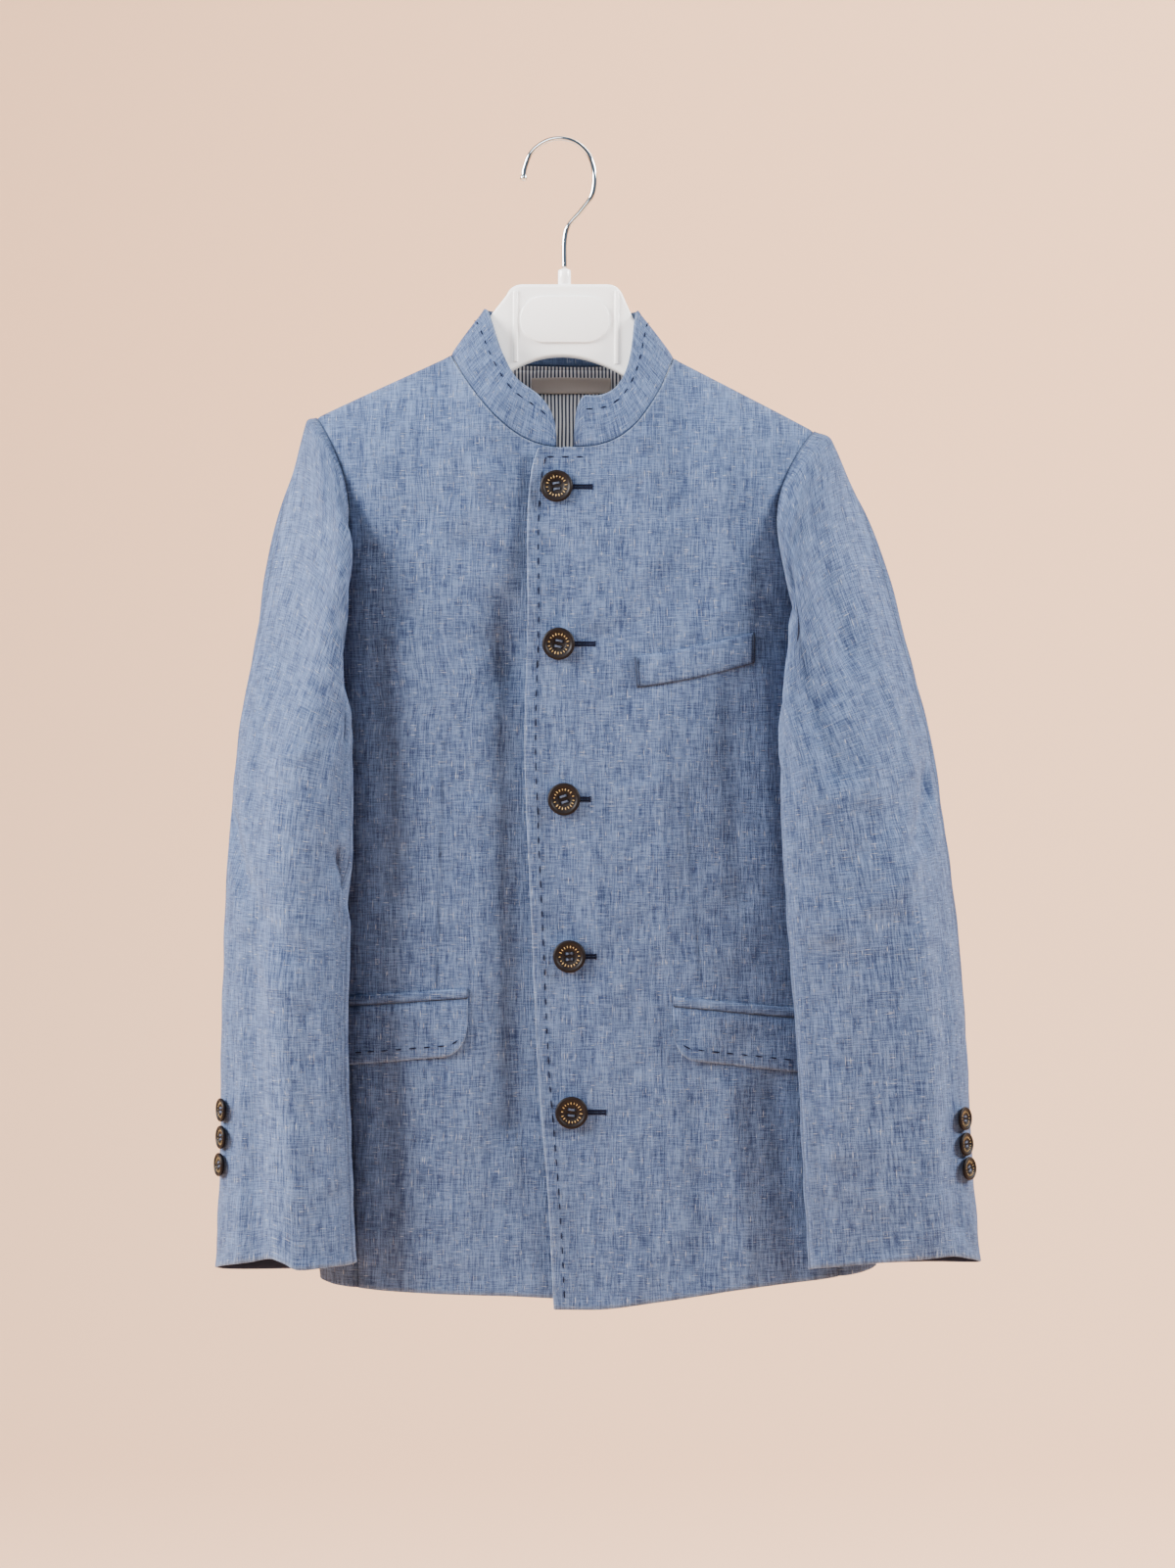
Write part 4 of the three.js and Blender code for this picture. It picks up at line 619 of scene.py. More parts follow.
def sleeveBase(side, angle, v):
    # The sleeve without its folds, kept clear of the body beside it.
    sign = sideSign(side)
    start = armholePoint(side, angle) + np.array([sign * armhole["gap"], 0, -0.3 * armhole["gap"]])
    roll = ringMix(sleeve["capOut"][side], sleeve["capFront"], sleeve["capUnder"], sleeve["capBack"], angle)
    rings = [start, start + roll * np.array([sign, 1, 1])]
    for row in sleeveRows[side]:
        outX, outY, outZ, inX, inY, inZ, faceY, rearY, lean, backLean, tilt = row[1:]
        midX, midZ = (outX + inX) / 2, (outZ + inZ) / 2
        rings.append(ringMix((outX, outY, outZ), (midX + lean, faceY, midZ + tilt), (inX, inY, inZ),
                             (midX + backLean, rearY, midZ - tilt), angle))
    at = throughKnots([0, sleeve["capRow"]] + [row[0] for row in sleeveRows[side]], rings, v)
    x, y, z = at[..., 0], at[..., 1], at[..., 2]
    middle = (armhole["tip"][side][1] + armhole["lowZ"][side]) / 2
    share = smooth((middle - z) / 30)
    centreY = torsoSize("mid", z)
    depth = np.where(y < centreY, torsoSize("front", z), torsoSize("back", z))
    sine = np.abs(y - centreY) / depth
    bulge = cloth["sideRound"] * (1 - np.sqrt(np.maximum(1 - sine * sine, 0)))
    reach = sign * (x - (torsoSize(side, z) - sign * bulge))
    clear = blend(armhole["gap"], sleeve["clear"], smooth(v / sleeve["capRow"]))[:, None]
    push = np.where((sine < 1) & (reach < clear), (clear - reach) * share, 0)
    return np.stack([x + sign * push, y, z], -1)


def sleeveRise(side, angle, v):
    # Height of the folds and small waves on the sleeve.
    around = (np.degrees(angle) % 360) / 360 * sleeve["girth"]
    s, t = around[None] + 0 * v[:, None], v[:, None] * sleeve["length"] + 0 * around[None]
    folds = [(a0 / 360 * sleeve["girth"], v0 * sleeve["length"], a1 / 360 * sleeve["girth"],
              v1 * sleeve["length"], width, rise * size)
             for size, rows in ((sleeve["folds"], sleeveFolds[side]),
                                (sleeve["fineFolds"], fineSleeveFolds[side]))
             for a0, v0, a1, v1, width, rise in rows]
    turn = np.radians(around / sleeve["girth"] * 360)[None]
    waves = 0.35 * np.sin(3 * turn + t * 0.021) * np.sin(t * 0.034 + 2 * turn + 0.7)
    ripples = np.sin(t * 0.17 + 1.9 * np.sin(2 * turn + 0.4)) * np.sin(s * 0.13 + t * 0.02)
    return smooth((v - 0.02) / 0.1)[:, None] * (foldRise(folds, s, t) + waves + 0.3 * ripples)


def sleeveGrid(side, first, last, rows, columns):
    angle = np.radians(blend(first, last, nearEdges(columns)))
    v = np.linspace(0, 1, rows + 1) ** sleeve["crowd"]
    return sleeveAt(side, angle, v)


def sleeveAt(side, angle, v):
    step = 0.01
    at = sleeveBase(side, angle, v)
    around = sleeveBase(side, angle + step, v) - sleeveBase(side, angle - step, v)
    down = (sleeveBase(side, angle, np.minimum(v + step, 1))
            - sleeveBase(side, angle, np.maximum(v - step, 0)))
    normal = unit(np.cross(around, down) * sideSign(side))
    at = at + normal * sleeveRise(side, angle, v)[..., None]
    dip = throughKnots(*np.transpose(cuffHem[side]), np.degrees(angle) % 360)
    at[..., 2] += smooth((v - 0.86) / 0.14)[:, None] * dip[None]
    crown = (smooth((np.cos(angle) - 0.2) / 0.6)[None] * smooth(1 - v / 0.02)[:, None])[..., None]
    return at, unit(blend(normal, armholeNormal(side, angle)[None], crown))


# Collar


def collarSeam(t):
    # Where the collar is sewn on: t runs round the neck from the right end to the left end.
    front, back = collar["front"], collar["back"]
    q = np.clip((t - front) / back, 0, 1)
    rightX = blend(collar["end"]["right"], neck["point"]["right"][0],
                   np.sin(np.clip(t / front, 0, 1) * math.pi / 2))
    leftX = blend(collar["end"]["left"], neck["point"]["left"][0],
                  np.sin(np.clip((1 - t) / front, 0, 1) * math.pi / 2))
    backX = neck["centre"] - neck["half"] * np.cos(q * math.pi)
    parts = [fieldGrid(rightFrontY, rightX, neckFrontZ(rightX), -1),
             fieldGrid(backY, backX, neckBackZ(backX), 1),
             fieldGrid(frontY, leftX, neckFrontZ(leftX), -1)]
    pick = np.where(t <= front, 0, np.where(t < front + back, 1, 2))
    at = np.choose(pick[:, None], [p[0] for p in parts])
    normal = np.choose(pick[:, None], [p[1] for p in parts])
    return at, normal


def collarGrid(rows, columns):
    t = np.linspace(0, 1, columns + 1)
    base, baseNormal = collarSeam(t)
    rise = throughKnots(collar["t"], collar["rise"], t)
    lean = throughKnots(collar["t"], collar["lean"], t)
    inward = unit(np.stack([neck["centre"] - base[:, 0], collar["centreY"] - base[:, 1], 0 * t], -1))
    fromRight = np.where(t < 0.3, (base[:, 0] - collar["end"]["right"]) / -collar["radius"]["right"], 1)
    fromLeft = np.where(t > 0.7, (base[:, 0] - collar["end"]["left"]) / collar["radius"]["left"], 1)
    share = 0.16 + 0.84 * quarter(np.minimum(fromRight, fromLeft))
    up = (np.array([0.0, 0, 1]) * rise[:, None] + inward * lean[:, None]) * share[:, None]
    along = collarSeam(np.minimum(t + 0.01, 1))[0] - collarSeam(np.maximum(t - 0.01, 0))[0]
    normal = unit(np.cross(up, along))
    normal *= np.where((normal * inward).sum(-1, keepdims=True) > 0, -1, 1)
    start = base + unit(up) * collar["gap"]
    q = np.linspace(0, 1, rows + 1)[:, None, None]
    mixed = unit(blend(baseNormal[None], normal[None], np.clip(q * 3, 0, 1)))
    ease = 0.35 * np.sin(t * 46)[None, :, None] * q
    at = start[None] + up[None] * q + mixed * (2.2 * q * (1 - q) + ease)
    return at, mixed


# Materials


def put(tree, kind, settings=None, inputs=None):
    node = tree.nodes.new(kind)
    for key, value in (settings or {}).items():
        setattr(node, key, value)
    for key, value in (inputs or {}).items():
        if isinstance(value, bpy.types.NodeSocket):
            tree.links.new(value, node.inputs[key])
        else:
            node.inputs[key].default_value = value
    return node


def calc(tree, operation, a, b=0.0, clamp=False):
    node = put(tree, "ShaderNodeMath", {"operation": operation, "use_clamp": clamp}, {0: a, 1: b})
    return node.outputs[0]


def newGroup(name, ins, outs):
    tree = bpy.data.node_groups.new(name, "ShaderNodeTree")
    for title, kind, value in ins:
        socket = tree.interface.new_socket(title, in_out="INPUT", socket_type=kind)
        if value is not None:
            socket.default_value = value
    for title, kind in outs:
        tree.interface.new_socket(title, in_out="OUTPUT", socket_type=kind)
    return tree, tree.nodes.new("NodeGroupInput").outputs, tree.nodes.new("NodeGroupOutput")


def streaks(tree, vector, across, along, detail, rough=0.6):
    scaled = put(tree, "ShaderNodeVectorMath", {"operation": "MULTIPLY"}, {0: vector, 1: (across, along, 1)})
    noise = put(tree, "ShaderNodeTexNoise", {"noise_dimensions": "2D"},
                {"Vector": scaled.outputs[0], "Scale": 1.0, "Detail": detail, "Roughness": rough})
    return noise.outputs[0]


# Yarns of the cloth: (frequency across, frequency along, detail, share in the shade).
yarns = [(1250, 80, 2.0, 1.15), (90, 1350, 2.0, 0.85), (240, 8, 1.0, 0.3), (1900, 1900, 1.0, 0.5),
         (85, 60, 3.0, 0.35)]
# Thick spots of a yarn: (frequency across, frequency along, level, gain).
slubs = {"weft": (170, 1700, 0.79, 9.0), "warp": (1500, 140, 0.8, 9.0), "dark": (150, 1500, 0.775, 8.0)}


def slubSpots(tree, vector, across, along, level, gain):
    above = calc(tree, "SUBTRACT", streaks(tree, vector, across, along, 0.0), level)
    return calc(tree, "MULTIPLY", above, gain, True)


def weaveGroup():
    # Uneven warp and weft yarns, slubs and soft wear, from cloth coordinates in metres.
    tree, ins, out = newGroup("linenWeave",
                              [("Cloth", "NodeSocketVector", None), ("Contrast", "NodeSocketFloat", 1.0)],
                              [("Shade", "NodeSocketFloat"), ("Slub", "NodeSocketFloat"),
                               ("Dark Slub", "NodeSocketFloat"), ("Height", "NodeSocketFloat")])
    total = 0.0
    for across, along, detail, share in yarns:
        noise = streaks(tree, ins["Cloth"], across, along, detail)
        total = calc(tree, "ADD", total, calc(tree, "MULTIPLY", noise, share))
    centred = calc(tree, "SUBTRACT", total, sum(row[3] for row in yarns) / 2)
    shade = calc(tree, "ADD", calc(tree, "MULTIPLY", centred, ins["Contrast"]), 0.5, True)
    spots = {key: slubSpots(tree, ins["Cloth"], *values) for key, values in slubs.items()}
    both = calc(tree, "MAXIMUM", spots["weft"], spots["warp"])
    height = calc(tree, "ADD", total, calc(tree, "MULTIPLY", both, 0.6))
    for socket, value in zip(("Shade", "Slub", "Dark Slub", "Height"), (shade, both, spots["dark"], height)):
        tree.links.new(value, out.inputs[socket])
    return tree


def newMaterial(name, values, colour):
    material = bpy.data.materials.new(name)
    material.use_nodes = True
    material.diffuse_color = (*colour, 1)
    tree = material.node_tree
    shader = tree.nodes["Principled BSDF"]
    shader.inputs["Base Color"].default_value = (*colour, 1)
    for key, value in values.items():
        shader.inputs[key].default_value = value
    return material, tree, shader


def mixColour(tree, share, a, b):
    node = put(tree, "ShaderNodeMix", {"data_type": "RGBA"})
    for index, value in ((0, share), (6, a), (7, b)):
        if isinstance(value, bpy.types.NodeSocket):
            tree.links.new(value, node.inputs[index])
        else:
            node.inputs[index].default_value = value
    return node.outputs[2]


weave = weaveGroup()


def linenMaterial(name, dark, light, slubTone, contrast):
    finish = {"Roughness": 0.92, "Sheen Weight": 0.06, "Specular IOR Level": 0.25}
    material, tree, shader = newMaterial(name, finish, tuple((a + b) / 2 for a, b in zip(dark, light)))
    uv = put(tree, "ShaderNodeUVMap", {"uv_map": "cloth"})
    group = put(tree, "ShaderNodeGroup", {"node_tree": weave},
                {"Cloth": uv.outputs[0], "Contrast": contrast})
    colour = mixColour(tree, group.outputs["Shade"], (*dark, 1), (*light, 1))
    slub = calc(tree, "MULTIPLY", group.outputs["Slub"], 0.55)
    colour = mixColour(tree, slub, colour, (*slubTone, 1))
    colour = mixColour(tree, calc(tree, "MULTIPLY", group.outputs["Dark Slub"], 0.5), colour,
                       (dark[0] * 0.45, dark[1] * 0.45, dark[2] * 0.55, 1))
    tint = put(tree, "ShaderNodeAttribute", {"attribute_name": "tint"}).outputs["Fac"]
    # Positive tint lightens the cloth: a painted highlight along the pressed free edges, partly pale wear.
    colour = mixColour(tree, calc(tree, "MULTIPLY", tint, 1.0, True), colour, (0.4, 0.5, 0.66, 1))
    # Negative tint darkens the cloth: dark seam and dart lines, and painted shade above the front buttons.
    colour = mixColour(tree, calc(tree, "MULTIPLY", tint, -1.0, True), colour, (0.012, 0.02, 0.045, 1))
    bump = put(tree, "ShaderNodeBump", None, {"Strength": 0.85, "Distance": 0.0007,
                                               "Height": group.outputs["Height"]})
    tree.links.new(colour, shader.inputs["Base Color"])
    tree.links.new(bump.outputs[0], shader.inputs["Normal"])
    return material


stripe = {"period": 0.0023, "dark": (0.03, 0.04, 0.085), "light": (0.82, 0.82, 0.84)}


def stripeMaterial():
    material, tree, shader = newMaterial("stripedLining", {"Roughness": 0.5, "Sheen Weight": 0.1},
                                         (0.3, 0.31, 0.36))
    uv = put(tree, "ShaderNodeUVMap", {"uv_map": "cloth"})
    apart = put(tree, "ShaderNodeSeparateXYZ", None, {0: uv.outputs[0]})
    wave = calc(tree, "SINE", calc(tree, "MULTIPLY", apart.outputs[0], 2 * math.pi / stripe["period"]))
    share = calc(tree, "ADD", calc(tree, "MULTIPLY", wave, 1.6), 0.55, True)
    colour = mixColour(tree, share, (*stripe["dark"], 1), (*stripe["light"], 1))
    tree.links.new(colour, shader.inputs["Base Color"])
    return material


linen = linenMaterial("linen", (0.016, 0.031, 0.088), (0.112, 0.171, 0.314), (0.42, 0.46, 0.56), 1.6)
linenInside = linenMaterial("linenInside", (0.03, 0.052, 0.12), (0.12, 0.18, 0.32), (0.4, 0.45, 0.52), 0.9)
lining = stripeMaterial()
# Inner faces of the sleeves: a dark lining, painted near black to stand for the shade inside the sleeves.
sleeveLiningAndShade = newMaterial("sleeveLiningAndShade", {"Roughness": 0.85, "Specular IOR Level": 0.2},
                           (0.007, 0.01, 0.026))[0]
labelCloth = newMaterial("labelCloth", {"Roughness": 0.6, "Sheen Weight": 0.2}, (0.46, 0.4, 0.36))[0]
thread = newMaterial("navyThread", {"Roughness": 0.8, "Specular IOR Level": 0.1}, (0.004, 0.006, 0.02))[0]
buttonThread = newMaterial("paleThread", {"Roughness": 0.8}, (0.05, 0.068, 0.115))[0]
horn, hornTree, hornShader = newMaterial("horn", {"Roughness": 0.45, "Specular IOR Level": 0.14},
                                         (0.012, 0.009, 0.009))
hornPlace = put(hornTree, "ShaderNodeTexCoord")
hornNoise = put(hornTree, "ShaderNodeTexNoise", None, {"Vector": hornPlace.outputs["Object"], "Scale": 260.0,
                                                       "Detail": 3.0, "Distortion": 1.2})
hornTones = mixColour(hornTree, hornNoise.outputs[0], (0.003, 0.0025, 0.004, 1), (0.011, 0.007, 0.006, 1))
hornTree.links.new(hornTones, hornShader.inputs["Base Color"])
bronze = newMaterial("bronzeMark", {"Roughness": 0.55}, (0.5, 0.33, 0.11))[0]
# The hanger's white plastic glows faintly (emission): painted light that brightens it.
glowingPlastic = newMaterial("whitePlastic", {"Roughness": 0.16, "Coat Weight": 0.4, "Coat Roughness": 0.05,
                                       "Emission Strength": 0.4}, (0.93, 0.93, 0.93))[0]
chrome = newMaterial("chromeWire", {"Roughness": 0.09, "Metallic": 1.0}, (0.72, 0.73, 0.75))[0]
print("materials made")


# Cloth pieces


def clothPiece(name, node, at, normal, uv, thickness, materials, lift=0.0, tint=None):
    obj = wallMesh(name, at, normal, thickness, uv, lift, tint)
    for material in materials:
        obj.data.materials.append(material)
    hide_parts(node)
    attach(obj, "root")


# Height and width of a sunk seam and of a turned edge, in millimetres.
sunk, turned = (-0.75, 2.2), (0.35, 3.2)
fineness = {"frontRows": 290, "frontColumns": 118, "backRows": 190, "backColumns": 64,
            "sideRows": 170, "sideColumns": 20, "sleeveRows": 230, "topColumns": 92, "underColumns": 52}

# Tint and width of the dark line at a seam, and of the pale line at a pressed edge: a painted highlight,
# partly pale wear.
sewn, edgeWearAndHighlight = (-0.6, 0.8), (0.13, 0.9)
# Dart lines, and painted shade of the puckers above the front buttons: (x0, z0, x1, z1, width, tint).
darts = {"right": [(-70.6, -375.4, -72.4, -444.4, 0.8, -0.6), (-72.4, -444.4, -74.6, -524.2, 0.8, -0.6)],
         "left": [(76.4, -388, 82.6, -473.2, 0.8, -0.6), (82.6, -473.2, 87.8, -532, 0.8, -0.6)]}
paintedPuckerShade = [(-4, -205, 12, -207, 9, -0.1), (-6, -300, 14, -302, 9, -0.12), (-2, -396, 18, -397, 9, -0.1),
           (0, -492, 20, -494, 9, -0.1), (2, -588, 22, -590, 9, -0.1)]
frontFields = {"right": rightFrontY, "left": leftFrontY}


def edged(at, normal, seams, free):
    # Sinks the seams and darkens them; lifts the free edges and lightens them with a painted highlight,
    # partly pale wear.
    bands = {edge: sunk for edge in seams} | {edge: turned for edge in free}
    lines = {edge: sewn for edge in seams} | {edge: edgeWearAndHighlight for edge in free}
    at = shapeEdges(at, normal, bands)
    return at, edgeSum(at, lines)


for side in ("right", "left"):
    places = panelPlaces(frontEdges(side), fineness["frontRows"], fineness["frontColumns"], 1.3)
    at, normal = fieldGrid(frontFields[side], places[..., 0], places[..., 1], -1)
    at, tint = edged(at, normal, ("top", "end"), ("start", "bottom"))
    # The left front also gets painted shade above its buttons.
    tint = tint + foldRise(darts[side] + (paintedPuckerShade if side == "left" else []), at[..., 0], at[..., 2])
    clothPiece("Front_" + side, "front_" + side, at, normal, panelUv(at), cloth["thickness"],
               [linen, lining], tint=tint)
for side in ("right", "left"):
    places = panelPlaces(backEdges(side), fineness["backRows"], fineness["backColumns"], 1.5)
    at, normal = fieldGrid(backY, places[..., 0], places[..., 1], 1)
    at, tint = edged(at, normal, ("top", "end", "start"), ("bottom",))
    clothPiece("Back_" + side, "back_" + side, at, normal, panelUv(at), cloth["thickness"],
               [linen, lining], tint=tint)
for side in ("right", "left"):
    at, normal = sideGrid(side, fineness["sideRows"], fineness["sideColumns"])
    at, tint = edged(at, normal, ("start", "end"), ())
    uv = np.stack([np.cumsum(np.full(at.shape[:2], 2.4), 1), at[..., 2]], -1)
    clothPiece("Side_" + side, "side_" + side, at, normal, uv, cloth["thickness"],
               [linen, lining], tint=tint)
for side in ("right", "left"):
    for part, first, last in (("top", sleeve["from"], sleeve["to"]),
                              ("under", sleeve["to"], sleeve["from"] + 360)):
        at, normal = sleeveGrid(side, first, last, fineness["sleeveRows"], fineness[part + "Columns"])
        at = shapeEdges(at, normal, {"start": (sunk[0], 1.8), "end": (sunk[0], 1.8), "bottom": turned})
        v = np.linspace(0, 1, len(at)) ** sleeve["crowd"]
        turn = blend(first, last, nearEdges(at.shape[1] - 1)) / 360
        u = turn * sleeve["grainRound"] + sleeve["grainShift"]
        uv = np.stack(np.broadcast_arrays(u[None], -v[:, None] * sleeve["length"]), -1)
        clothPiece("Sleeve_" + part + "_" + side, "sleeve_" + part + "_" + side, at, normal, uv,
                   cloth["thickness"], [linen, sleeveLiningAndShade],
                   tint=edgeSum(at, {"start": sewn, "end": sewn, "top": sewn, "bottom": edgeWearAndHighlight}))
collarAt, collarNormal = collarGrid(collar["rows"], collar["columns"])
collarU = np.broadcast_to(arcLengths(collarAt)[:1], collarAt.shape[:2])
collarV = np.broadcast_to(np.linspace(0, 30, len(collarAt))[:, None], collarAt.shape[:2])
shaped = shapeEdges(collarAt, collarNormal, {"top": (-0.5, 1.6), "bottom": (0.4, 2.5)})
clothPiece("Collar", "collar", shaped, collarNormal, np.stack([collarU, collarV], -1), cloth["thickness"],
           [linen, linenInside], tint=edgeSum(shaped, {"top": sewn, "bottom": edgeWearAndHighlight}))
print("body, sleeves and collar made")

# Pockets: jets, flaps and the breast welt lie on the front they are sewn to.
pocket = {"thickness": 1.3, "jetHeight": 5.6, "flapGap": 0.5, "standOff": 2.6, "grainShift": 31.7,
          "right": {"start": -55.8, "width": 86.0, "topZ": -527.0, "drop": 34.0, "slope": -0.074,
                    "corner": 14.0, "looseness": 0.3},
          "left": {"start": 70.3, "width": 97.0, "topZ": -532.0, "drop": 31.0, "slope": -0.098,
                   "corner": 13.0, "looseness": 1}}


def onCloth(side, x, z, lift):
    field = frontFields[side]
    at, normal = fieldGrid(field, x, z, -1)
    return at + normal * np.asarray(lift)[..., None], normal


def flapPlaces(side, u, v, extra=0.0):
    # The flap over its front: u runs out along the pocket, v down.
    size = pocket[side]
    x = size["start"] + sideSign(side) * size["width"] * u
    top = size["topZ"] + size["slope"] * size["width"] * u - pocket["jetHeight"] - pocket["flapGap"]
    rounded = quarter(size["width"] * np.minimum(u, 1 - u) / size["corner"])
    drop = size["drop"] * (0.45 + 0.55 * rounded) + 2 * u
    loose = smooth(1 - u * 3) * size["looseness"]
    lift = 1.9 + pocket["standOff"] * loose * v * v + 0.7 * np.sin(u * 9 + 1) * v * (1 - u) * smooth(v * 2)
    return onCloth(side, x, top - drop * v, lift + extra)


for side in ("right", "left"):
    size = pocket[side]
    u, v = np.meshgrid(np.linspace(0, 1, 91), np.linspace(0, 1, 9))
    x = size["start"] + sideSign(side) * size["width"] * u
    z = size["topZ"] + size["slope"] * size["width"] * u - pocket["jetHeight"] * v
    at, normal = onCloth(side, x, z, 1.3 + 0.5 * np.sin(math.pi * v))
    tint = edgeSum(at, {"start": sewn, "end": sewn, "bottom": (-0.7, 0.7)})
    clothPiece("Jet_" + side, "jet_" + side, at, normal, np.stack([z, x], -1), pocket["thickness"],
               [linen, linen], tint=tint)
    u, v = np.meshgrid(np.linspace(0, 1, 101), np.linspace(0, 1, 31))
    at, normal = flapPlaces(side, u, v)
    at = shapeEdges(at, normal, {"bottom": (-0.35, 1.5), "start": (-0.35, 1.5), "top": (-0.9, 2.5)})
    tint = edgeSum(at, {"top": (-0.5, 1.2), "bottom": edgeWearAndHighlight, "start": edgeWearAndHighlight})
    clothPiece("Flap_" + side, "flap_" + side, at, normal, at[..., [0, 2]] + pocket["grainShift"],
               pocket["thickness"], [linen, linenInside], tint=tint)
welt = {"inner": 46.8, "outer": 120.0, "innerTop": -323.9, "outerTop": -308.7, "height": 18.4,
        "lean": 1.2, "sag": 1.6, "grainShift": 17.3}


def weltPlaces(u, v, lift):
    x = blend(welt["inner"] + welt["lean"] * v, welt["outer"], u)
    z = blend(welt["innerTop"], welt["outerTop"], u) - welt["sag"] * np.sin(np.pi * u) - welt["height"] * v
    return onCloth("left", x, z, lift)


u, v = np.meshgrid(np.linspace(0, 1, 81), np.linspace(0, 1, 23))
at, normal = weltPlaces(u, v, 1.7 + 0.3 * np.sin(math.pi * v))
at = shapeEdges(at, normal, {"start": (-0.4, 1.5), "end": (-0.4, 1.5), "bottom": (-0.6, 1.5),
                             "top": (-0.2, 1.2)})
tint = edgeSum(at, {"start": (-1.0, 1.5), "end": (-1.0, 1.4), "bottom": (-0.6, 0.8)})
clothPiece("Breast_welt", "breast_welt", at, normal, at[..., [0, 2]] + welt["grainShift"],
           pocket["thickness"], [linen, linen], tint=tint)


# Inside the back, as far as the neck shows it: how deep each piece lies, and its steps across and down.
inside = {"Back_lining": {"node": "lining_back", "x": (-63, 67, 80), "z": (-141, -246, 60), "lift": -2.4,
                          "thickness": 1.1, "material": lining, "slot": "lining"},
          "Bare_label": {"node": "label", "x": (-17.4, 32.5, 40), "z": (-145.5, -155.5, 8), "lift": -4.0,
                         "thickness": 0.7, "material": labelCloth, "slot": "label"}}
for name, size in inside.items():
    x, z = np.meshgrid(np.linspace(*size["x"]), np.linspace(*size["z"]))
    at, normal = fieldGrid(backY, x, z, 1)
    clothPiece(name, size["node"], at, normal, at[..., [0, 2]], size["thickness"], [size["material"]] * 2,
               size["lift"])
print("pockets, lining and label made")


# Plain solids


def plainObject(name, verts, faces, materials, nodes=()):
    mesh = bpy.data.meshes.new(name)
    mesh.from_pydata([tuple(p) for p in verts], [], [tuple(f) for f in faces])
    mesh.update()
    shadeSmooth(mesh)
    obj = finishObject(newObject(name, mesh), materials, nodes)
    fixNormals(obj)
    return obj


def finishObject(obj, materials, nodes=()):
    for material in materials:
        obj.data.materials.append(material)
    if nodes:
        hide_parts(*nodes)
    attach(obj, "root")
    return obj


def tubeData(points, radius, sides, start=0):
    p = np.asarray(points, float)
    tangent = unit(np.gradient(p, axis=0))
    guide = np.array([0.0, 1, 0]) if abs(tangent[0, 1]) < 0.9 else np.array([1.0, 0, 0])
    a = unit(np.cross(tangent, guide))
    b = np.cross(tangent, a)
    turn = np.arange(sides) / sides * 2 * np.pi
    ring = (np.cos(turn)[None, :, None] * a[:, None] + np.sin(turn)[None, :, None] * b[:, None]) * radius
    verts = (p[:, None] + ring).reshape(-1, 3)
    faces = []
    for i in range(len(p) - 1):
        for j in range(sides):
            k = (j + 1) % sides
            faces.append((start + i * sides + j, start + i * sides + k,
                          start + (i + 1) * sides + k, start + (i + 1) * sides + j))
    faces.append(tuple(start + j for j in range(sides - 1, -1, -1)))
    faces.append(tuple(start + (len(p) - 1) * sides + j for j in range(sides)))
    return verts, faces


def fixNormals(obj):
    bm = bmesh.new()
    bm.from_mesh(obj.data)
    bmesh.ops.recalc_face_normals(bm, faces=bm.faces)
    bm.to_mesh(obj.data)
    bm.free()


def tubeObject(name, runs, radius, sides, materials, nodes=()):
    verts, faces = [], []
    for run in runs:
        v, f = tubeData(run, radius, sides, sum(len(x) for x in verts))
        verts.append(v * mm)
        faces += f
    return plainObject(name, np.concatenate(verts), faces, materials, nodes)


def smoothPath(points, count):
    p = np.asarray(points, float)
    chord = np.sqrt(np.linalg.norm(np.diff(p, axis=0), axis=1))
    key = np.concatenate([[0], np.cumsum(chord)])
    at = np.linspace(0, key[-1], count)
    return throughKnots(key, p, at)


def latheData(profile, sides):
    turn = np.arange(sides) / sides * 2 * np.pi
    verts, faces, rings = [], [], []
    for r, h in profile:
        if r < 1e-6:
            rings.append([len(verts)])
            verts.append((0, 0, h))
        else:
            rings.append(list(range(len(verts), len(verts) + sides)))
            verts += [(r * math.cos(t), r * math.sin(t), h) for t in turn]
    for a, b in zip(rings[:-1], rings[1:]):
        for j in range(sides):
            k = (j + 1) % sides
            quad = [a[j % len(a)], a[k % len(a)], b[k % len(b)], b[j % len(b)]]
            faces.append(tuple(dict.fromkeys(quad)))
    return np.array(verts, float), faces


# Hanger
hanger = {"half": 6.0, "bevel": 2.6, "segments": 5, "under": 5.6, "arm": 19.0, "tip": 11.0,
          "ferrule": (3.3, 0, -90.5), "wire": 1.5, "ball": 2.3, "plaque": (-24.3, 31.4, -97.6, -126.5),
          "ribs": ((-27.2, -138.5), (36.0, -140.0)), "ribTop": -94, "ribHalf": 1.4}
ferruleProfile = [(0, 0), (3.6, 0), (4, 0.4), (4, 9.2), (3.5, 10), (1.6, 10.7), (0, 10.7)]
hookPath = [(-22.2, -23), (-21.6, -17.5), (-17.6, -7.6), (-9.6, -0.9), (0, 1.5), (10.4, -1.1), (18.4, -8.6),
            (21.9, -19.6), (20.6, -33.5), (13.6, -43.8), (5.6, -53.4), (3.4, -62), (3.3, -79.3)]


def bend(a, b, c, count):
    t = np.linspace(0, 1, count)[:, None]
    a, b, c = (np.array(p, float) for p in (a, b, c))
    return ((1 - t) ** 2 * a + 2 * t * (1 - t) * b + t * t * c).tolist()


def armTop(x):
    return float(ridgeZ(x)) - hanger["under"]


